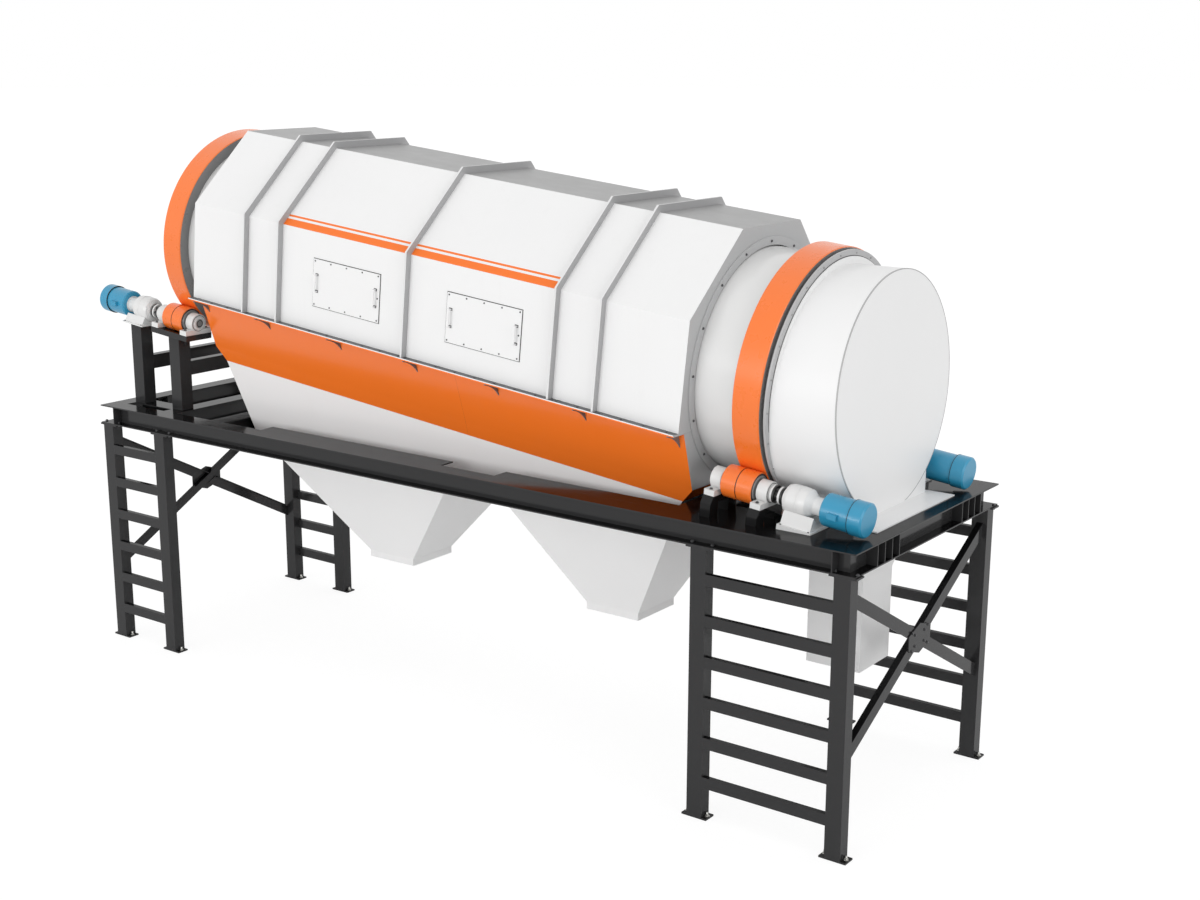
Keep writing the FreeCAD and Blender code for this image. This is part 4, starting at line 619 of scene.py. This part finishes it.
COVER_WALL, COVER_FACE, COVER_BOLT_S, COVER_BOLT_N = -1.165, -1.173, 0.414, 0.212
cover_places = []
for centre in ACCESS_COVERS:
    for share in (-1, -0.5, 0, 0.5, 1):
        for n in (-COVER_BOLT_N, COVER_BOLT_N):
            cover_places.append(facing(FRONT, (centre + COVER_BOLT_S * share, COVER_FACE, n)))
    for s in (-COVER_BOLT_S, COVER_BOLT_S):
        cover_places.append(facing(FRONT, (centre + s, COVER_FACE, 0)))
bolts("access_cover_bolts", cover_places, COVER_BOLT, "frame", dark_bolt)

LIP_BOLTS, LIP_BOLT_START, LIP_BOLT_SPAN, LIP_BOLT_Y, LIP_TOP = 26, -3.08, 5.86, 1.212, -0.48
RIB_CLEARANCE = 0.03
lip_places = []
for side in (-1, 1):
    for i in range(LIP_BOLTS):
        s = LIP_BOLT_START + i * LIP_BOLT_SPAN / (LIP_BOLTS - 1)
        if min(abs(s - rib) for rib in RIBS) > RIB_CLEARANCE:
            lip_places.append(facing(UP, (s, side * LIP_BOLT_Y, LIP_TOP)))
bolts("joint_flange_bolts", lip_places, LIP_BOLT, "frame", dark_bolt)

HANDLE_S, HANDLE_N = 0.386, 0.0815
FOOT_LOW, FOOT_HIGH, FOOT_EDGE = (-0.019, -0.012, 0), (0.019, 0.012, 0.0035), 0.001
bm = bmesh.new()
for centre in ACCESS_COVERS:
    for side in (-1, 1):
        for n in (-HANDLE_N, HANDLE_N):
            place = facing(FRONT, (centre + side * HANDLE_S, COVER_FACE, n))
            slab(bm, FOOT_LOW, FOOT_HIGH, place, FOOT_EDGE)
piece("handle_feet", bm, "frame", dark_bolt)


def frame_round(bm, low, high, wide, place, deep):
    """A flat rectangular ring round a plate, its inner edge from low to high."""
    outer_low, outer_high = (low[0] - wide, low[1] - wide), (high[0] + wide, high[1] + wide)
    loops = []
    for (x0, y0), (x1, y1) in ((low, high), (outer_low, outer_high)):
        for z in (0.0, deep):
            corners = [(x0, y0, z), (x1, y0, z), (x1, y1, z), (x0, y1, z)]
            loops.append([bm.verts.new(place @ Vector(corner)) for corner in corners])
    inner_low, inner_high, out_low, out_high = loops
    round_the_section = (inner_low, inner_high, out_high, out_low, inner_low)
    for a, b in zip(round_the_section, round_the_section[1:]):
        for i in range(4):
            j = (i + 1) % 4
            bm.faces.new([a[i], a[j], b[j], b[i]])


COVER_HALF_S, COVER_HALF_N, GASKET_WIDE, GASKET_DEEP = 0.436, 0.2325, 0.006, 0.0035
UPRIGHT = Matrix.Rotation(math.pi / 2, 4, "X")
# Dark rubber gaskets round the access covers, which also stand in for the shadow line round each
# cover
bm = bmesh.new()
for centre in ACCESS_COVERS:
    place = SLOPED @ Matrix.Translation((centre, COVER_WALL, 0)) @ UPRIGHT
    low, high = (-COVER_HALF_S, -COVER_HALF_N), (COVER_HALF_S, COVER_HALF_N)
    frame_round(bm, low, high, GASKET_WIDE, place, GASKET_DEEP)
piece("access_cover_gaskets_and_shadow_lines", bm, "frame", rubber)

# Brackets under the joint flange

JOINT_LOW, WALL_TOP, WALL_LEAN, BRACKET_DROP = -0.5002, 1.0757, 0.4107, 0.145
BRACKETS = (-3.09, -2.184, -1.186, -0.188, 0.810, 1.808, 2.806)
BRACKET_REACH, BRACKET_NOSE, BRACKET_HALF, CURVE_STEPS = 1.232, 0.015, 0.006, 10
CURVE_Y, CURVE_DROP = 1.10, 0.045


def bracket(bm, centre, side):
    """A curved plate between the flange and the sloping wall."""
    outer = Vector((BRACKET_REACH, JOINT_LOW))
    inner = Vector((WALL_TOP - WALL_LEAN * BRACKET_DROP, JOINT_LOW - BRACKET_DROP))
    middle = Vector((CURVE_Y, JOINT_LOW - CURVE_DROP))
    line = [Vector((WALL_TOP, JOINT_LOW)), outer]
    start = outer + Vector((0, -BRACKET_NOSE))
    for i in range(CURVE_STEPS + 1):
        f = i / CURVE_STEPS
        line.append(start * (1 - f) ** 2 + middle * 2 * f * (1 - f) + inner * f * f)
    sides = []
    for s in (centre - BRACKET_HALF, centre + BRACKET_HALF):
        sides.append([bm.verts.new(SLOPED @ Vector((s, side * y, n))) for y, n in line])
    for ring in sides:
        bm.faces.new(ring)
    for i in range(len(line)):
        j = (i + 1) % len(line)
        bm.faces.new([sides[0][i], sides[0][j], sides[1][j], sides[1][i]])


bm = bmesh.new()
for centre in BRACKETS:
    for side in (-1, 1):
        bracket(bm, centre, side)
brackets = piece("flange_brackets", bm, "frame", bracket_grey, 20)
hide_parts("joint_gussets")

# Bolts of the leg frame

OUTER_LEG, FRAME_WIDTH, LEG_WIDTH = 4.49, 2.71, 0.125
LEG_XS = (-OUTER_LEG, -3.663, 3.145, OUTER_LEG)
LEG_Y = (FRAME_WIDTH - LEG_WIDTH) / 2
HOLE_OFFSET, PLATE, FLANGE = 0.1, 0.016, 0.012
ANCHOR_STUD = [(0, 0), (0.01, 0), (0.01, 0.034), (0.008, 0.037), (0, 0.037)]
anchor_places, cap_places, nut_places = [], [], []
for x in LEG_XS:
    for side in (-1, 1):
        for ear in (-HOLE_OFFSET, HOLE_OFFSET):
            point = (x + ear, side * LEG_Y)
            anchor_places.append(facing(UP, (*point, PLATE), LEVEL))
            cap_places.append(facing(DOWN, (*point, BEAM_BOTTOM - PLATE), LEVEL))
            nut_places.append(facing(UP, (*point, BEAM_BOTTOM + FLANGE), LEVEL))
bolts("anchor_nuts", anchor_places, ANCHOR_NUT, "frame", zinc)
bolts("cap_bolts", cap_places, CAP_BOLT, "frame", dark_bolt)
bolts("cap_nuts", nut_places, CAP_BOLT, "frame", dark_bolt)
bm = bmesh.new()
for place in anchor_places:
    turned(bm, ANCHOR_STUD, place, 14)
piece("anchor_studs", bm, "frame", zinc)

# The brace gussets' middle and outer face, and how steeply the braces cross there
CROSSING, GUSSET_FACE, BRACE_RISE = 1.5425, OUTER_LEG + 0.0475, 0.547
GUSSET_BOLT_YS = (-0.15, -0.09, 0.09, 0.15)
gusset_places = []
for end in (-1, 1):
    face = end * GUSSET_FACE
    for y in GUSSET_BOLT_YS:
        for up in (-1, 1):
            height = CROSSING + up * abs(y) * BRACE_RISE
            gusset_places.append(facing((end, 0, 0), (face, y, height), LEVEL))
bolts("gusset_bolts", gusset_places, GUSSET_BOLT, "frame", dark_bolt)

# Drives


def along_drive(s, out, side):
    """A place on a roller's centre whose Z axis looks along its drive."""
    return facing((out, 0, 0), (s, side * ROLLER_Y, ROLLER_N))


def at(place, offset):
    """The same place, further along its Z axis."""
    return place @ Matrix.Translation((0, 0, offset))


TURNED_BACK = Matrix.Rotation(math.pi, 4, "X")


def hoop(bm, place, radii, faces, steps):
    """A ring of square section: its inner and outer radius, its near and far face."""
    (inner, outer), (near, far) = radii, faces
    section = [(inner, near), (outer, near), (outer, far), (inner, far)]
    loop_turned(bm, section, place, steps)


def end_cap(bm, place, deep):
    """A stepped cap on a bearing housing's face, round the shaft."""
    outline = [
        (SHAFT_BORE, 0), (0.080, 0), (0.080, 0.4 * deep), (0.066, 0.5 * deep), (0.062, deep),
        (SHAFT_BORE, deep),
    ]
    loop_turned(bm, outline, place, 40)


HOUSING_BOLT_Y, HOUSING_FOOT, CAP_DEEP, CAP_AT_COUPLING = 0.14, 0.05, 0.014, 0.009
SADDLE_BOLT_S, SADDLE_BOLT_Y, SADDLE_HALF, SADDLE_PLATE = 0.13, 0.155, 0.16, 0.014
SEAL_RADII, SEAL_HALF, SEAL_MIDDLES = (0.0805, 0.0845), 0.0012, (-0.2765, -0.1735, 0.1735, 0.2765)
# painted shade: the dark ring at the cowl's front edge stands in for the gap between motor and cowl
COWL_RADII, COWL_SHADOW_GAP = (0.1385, 0.1488), (1.0455, 1.0505)
REDUCER_RINGS = (
    ([(0.0765, 0.776), (0.086, 0.778), (0.086, 0.789), (0.0765, 0.789)], 48),
    ([(0.1265, 0.552), (0.1305, 0.554), (0.1305, 0.562), (0.1265, 0.564)], 48),
    ([(0.050, 0.417), (0.084, 0.417), (0.084, 0.4245), (0.050, 0.4245)], 40),
)

foot_bolts, saddle_bolts = [], []
reducer_rings, bearing_caps, drive_seals_and_shadow_gaps = bmesh.new(), bmesh.new(), bmesh.new()
for s, out, side, name in DRIVES:
    drive = along_drive(s, out, side)
    y = side * ROLLER_Y
    for offset in (-BEARING_OFFSET, BEARING_OFFSET):
        for across in (-HOUSING_BOLT_Y, HOUSING_BOLT_Y):
            foot_bolts.append(facing(UP, (s + offset, y + across, BASE_N + HOUSING_FOOT)))
        end_cap(bearing_caps, at(drive, offset - BEARING_HALF) @ TURNED_BACK, CAP_DEEP)
        far_deep = CAP_AT_COUPLING if offset > 0 else CAP_DEEP
        end_cap(bearing_caps, at(drive, offset + BEARING_HALF), far_deep)
    centre = s + out * SADDLE_OFFSET
    saddle_low = ROLLER_N - SADDLE_HEIGHT
    if out > 0:
        drop = (centre + SADDLE_HALF) * math.sin(SLOPE)
        saddle_low = (FRAME_TOP - AXIS_HEIGHT + drop) / math.cos(SLOPE)
    for along in (-SADDLE_BOLT_S, SADDLE_BOLT_S):
        for across in (-SADDLE_BOLT_Y, SADDLE_BOLT_Y):
            point = (centre + along, y + across, saddle_low + SADDLE_PLATE)
            saddle_bolts.append(facing(UP, point))
    # painted shade: a dark ring in the gap between motor and cowl
    hoop(drive_seals_and_shadow_gaps, drive, COWL_RADII, COWL_SHADOW_GAP, 64)
    for middle in SEAL_MIDDLES:
        hoop(drive_seals_and_shadow_gaps, drive, SEAL_RADII, (middle - SEAL_HALF, middle + SEAL_HALF), 40)
    for section, steps in REDUCER_RINGS:
        loop_turned(reducer_rings, section, drive, steps)

bolts("bearing_foot_bolts", foot_bolts, HOUSING_BOLT, "frame", dark_bolt)
bolts("saddle_bolts", saddle_bolts, COVER_BOLT, "frame", dark_bolt)
piece("reducer_rings", reducer_rings, "frame", drive_white)
piece("bearing_end_caps", bearing_caps, "frame", drive_white)
piece("drive_seals_and_shadow_gaps", drive_seals_and_shadow_gaps, "frame", rubber)

ROLLER_HALF, HUB_SEATED = 0.150, 0.001
HUB = (
    (0.0465, 0.0), (0.116, 0.0), (0.116, 0.006), (0.108, 0.009), (0.066, 0.009), (0.062, 0.014),
    (0.0465, 0.014),
)
SLEEVE = [
    (0.0085, SLEEVES_START), (0.0135, 0.331), (0.0145, 0.346), (0.0135, 0.361),
    (0.0085, SLEEVES_END),
]
PINS, PIN_CIRCLE, PIN_END = 6, 0.054, 0.402
for s, out, side, name in DRIVES:
    drive, body = along_drive(s, out, side), f"roller_set_{name}"
    hubs = bmesh.new()
    for way in (1, -1):
        outline = [(radius, way * (ROLLER_HALF + height - HUB_SEATED)) for radius, height in HUB]
        loop_turned(hubs, outline, drive, 48)
    piece(f"roller_hubs_{name}", hubs, body, hub_grey)
    sleeves, nuts = bmesh.new(), []
    for i in range(PINS):
        spin = Matrix.Rotation(math.tau * i / PINS, 4, "Z") @ Matrix.Translation((PIN_CIRCLE, 0, 0))
        loop_turned(sleeves, SLEEVE, drive @ spin, 18)
        nuts.append(at(drive @ spin, PIN_END))
    piece(f"coupling_sleeves_{name}", sleeves, body, rubber)
    bolts(f"coupling_nuts_{name}", nuts, PIN_NUT, body, zinc, washer=False)

# Hood trim

HOOD_FOOT = FRAME_TOP + 0.02
HOOD_END, HOOD_HEIGHT = 4.21, 3.645
FLANGE_NEAR, FLANGE_FAR, FLANGE_INNER, FLANGE_OUTER = 3.612, 3.632, 1.0455, 1.100
RIM_RADII, RIM_FACES = (1.028, 1.0358), (-0.0095, 0.0012)
HOOD_SEAL_OUTER, HOOD_SEAL_FACES = 1.0505, (3.630, 3.6345)
HOOD_BOLTS, LOWEST_BOLT = 24, 2.9


def hood_trim(name, radii, faces, place, steps, material):
    """A ring round the hood, cut off above the frame."""
    bm = bmesh.new()
    hoop(bm, place, radii, faces, steps)
    bmesh.ops.remove_doubles(bm, verts=bm.verts[:], dist=1e-6)
    bmesh.ops.bisect_plane(
        bm, geom=bm.verts[:] + bm.edges[:] + bm.faces[:], plane_co=(0, 0, HOOD_FOOT),
        plane_no=(0, 0, 1), clear_inner=True,
    )
    bmesh.ops.holes_fill(bm, edges=[e for e in bm.edges if e.is_boundary], sides=0)
    piece(name, bm, "frame", material)


end_place = facing(FORTH, (HOOD_END, 0, HOOD_HEIGHT), LEVEL)
axis_place = facing(FORTH, (0, 0, 0))
hood_trim("hood_rim", RIM_RADII, RIM_FACES, end_place, 160, seam_grey)
flange_radii, seal_radii = (FLANGE_INNER, FLANGE_OUTER), (FLANGE_INNER, HOOD_SEAL_OUTER)
flange_faces = (FLANGE_NEAR, FLANGE_FAR)
hood_trim("hood_flange", flange_radii, flange_faces, axis_place, 128, flange_grey)
hood_trim("hood_seal", seal_radii, HOOD_SEAL_FACES, axis_place, 128, rubber)

hood_places, middle = [], (FLANGE_INNER + FLANGE_OUTER) / 2
for i in range(HOOD_BOLTS):
    angle = math.tau * (i + 0.5) / HOOD_BOLTS
    place = facing(FORTH, (FLANGE_FAR, middle * math.sin(angle), middle * math.cos(angle)))
    if place.translation.z > LOWEST_BOLT:
        hood_places.append(place)
bolts("hood_ring_bolts", hood_places, COVER_BOLT, "frame", hub_grey)

# Floor, light and camera

# The floor glows for the camera only, so that it meets the sky behind the part as one white
FLOOR_COLOUR, FLOOR_GLOW, GLOW_SHARE, FLOOR_RADIUS = (0.93, 0.93, 0.93, 1), 1.12, 0.78, 220
SKY_SEEN, SKY_ON_PART, SKY_COLOUR = 1.0, 0.78, (1, 1, 1, 1)


def floor_material():
    material = bpy.data.materials.new("pale_floor")
    material.use_nodes = True
    tree = material.node_tree
    tree.nodes.clear()
    diffuse = tree.nodes.new("ShaderNodeBsdfDiffuse")
    diffuse.inputs["Color"].default_value = FLOOR_COLOUR
    glow = tree.nodes.new("ShaderNodeEmission")
    glow.inputs["Strength"].default_value = FLOOR_GLOW
    path = tree.nodes.new("ShaderNodeLightPath")
    share = tree.nodes.new("ShaderNodeMath")
    share.operation = "MULTIPLY"
    share.inputs[1].default_value = GLOW_SHARE
    mix = tree.nodes.new("ShaderNodeMixShader")
    output = tree.nodes.new("ShaderNodeOutputMaterial")
    tree.links.new(path.outputs["Is Camera Ray"], share.inputs[0])
    tree.links.new(share.outputs[0], mix.inputs[0])
    tree.links.new(diffuse.outputs[0], mix.inputs[1])
    tree.links.new(glow.outputs[0], mix.inputs[2])
    tree.links.new(mix.outputs[0], output.inputs[0])
    return material


bm = bmesh.new()
bmesh.ops.create_circle(bm, cap_ends=True, segments=96, radius=FLOOR_RADIUS)
floor_mesh = bpy.data.meshes.new("floor")
bm.to_mesh(floor_mesh)
bm.free()
floor = bpy.data.objects.new("floor", floor_mesh)
scene.collection.objects.link(floor)
floor.location = (MID_X, 0, -0.001)
floor_mesh.materials.append(floor_material())

# The sky is plain white to the camera and in gloss, and dimmer where it lights the part
world = bpy.data.worlds.new("studio")
scene.world = world
world.use_nodes = True
tree = world.node_tree
tree.nodes.clear()
dim = tree.nodes.new("ShaderNodeBackground")
dim.inputs["Color"].default_value = SKY_COLOUR
dim.inputs["Strength"].default_value = SKY_ON_PART
plain = tree.nodes.new("ShaderNodeBackground")
plain.inputs["Color"].default_value = SKY_COLOUR
plain.inputs["Strength"].default_value = SKY_SEEN
path = tree.nodes.new("ShaderNodeLightPath")
seen = tree.nodes.new("ShaderNodeMath")
seen.operation = "MAXIMUM"
both = tree.nodes.new("ShaderNodeMath")
both.operation = "MAXIMUM"
mix = tree.nodes.new("ShaderNodeMixShader")
output = tree.nodes.new("ShaderNodeOutputWorld")
tree.links.new(path.outputs["Is Camera Ray"], seen.inputs[0])
tree.links.new(path.outputs["Is Transmission Ray"], seen.inputs[1])
tree.links.new(seen.outputs[0], both.inputs[0])
tree.links.new(path.outputs["Is Glossy Ray"], both.inputs[1])
tree.links.new(both.outputs[0], mix.inputs[0])
tree.links.new(dim.outputs[0], mix.inputs[1])
tree.links.new(plain.outputs[0], mix.inputs[2])
tree.links.new(mix.outputs[0], output.inputs[0])


def sun(name, towards, strength, spread):
    """A sun whose light travels towards a direction; the spread in degrees softens its shadows."""
    light = bpy.data.lights.new(name, "SUN")
    light.energy = strength
    light.angle = math.radians(spread)
    lamp = bpy.data.objects.new(name, light)
    scene.collection.objects.link(lamp)
    lamp.rotation_euler = (-Vector(towards)).to_track_quat("Z", "Y").to_euler()


sun("key_light", (0.20, 1.0, -0.06), 1.09, 30)
sun("side_light", (-1.0, 0.25, -0.25), 0.50, 40)

# The camera of the photograph: its place from the part's middle, its turns in degrees, its lens
CAMERA_X, CAMERA_Y, CAMERA_Z = 10.4371, -12.6655, 6.5112
CAMERA_TURNS, CAMERA_LENS = (36.2769, 13.6422, 0.1741), 50.846
camera_data = bpy.data.cameras.new("camera")
camera = bpy.data.objects.new("camera", camera_data)
scene.collection.objects.link(camera)
scene.camera = camera
camera_data.sensor_width = 36.0
camera_data.lens = CAMERA_LENS
camera_data.clip_end = 1000
yaw, pitch, roll = (math.radians(v) for v in CAMERA_TURNS)
look = Vector((-math.sin(yaw) * math.cos(pitch), math.cos(yaw) * math.cos(pitch), -math.sin(pitch)))
right = Vector((math.cos(yaw), math.sin(yaw), 0))
above = right.cross(look)
tilted_right = right * math.cos(roll) + above * math.sin(roll)
tilted_up = above * math.cos(roll) - right * math.sin(roll)
turn = Matrix((tilted_right, tilted_up, -look)).transposed().to_4x4()
camera.matrix_world = Matrix.Translation((CAMERA_X + MID_X, CAMERA_Y, CAMERA_Z)) @ turn

scene.view_settings.view_transform = "Standard"
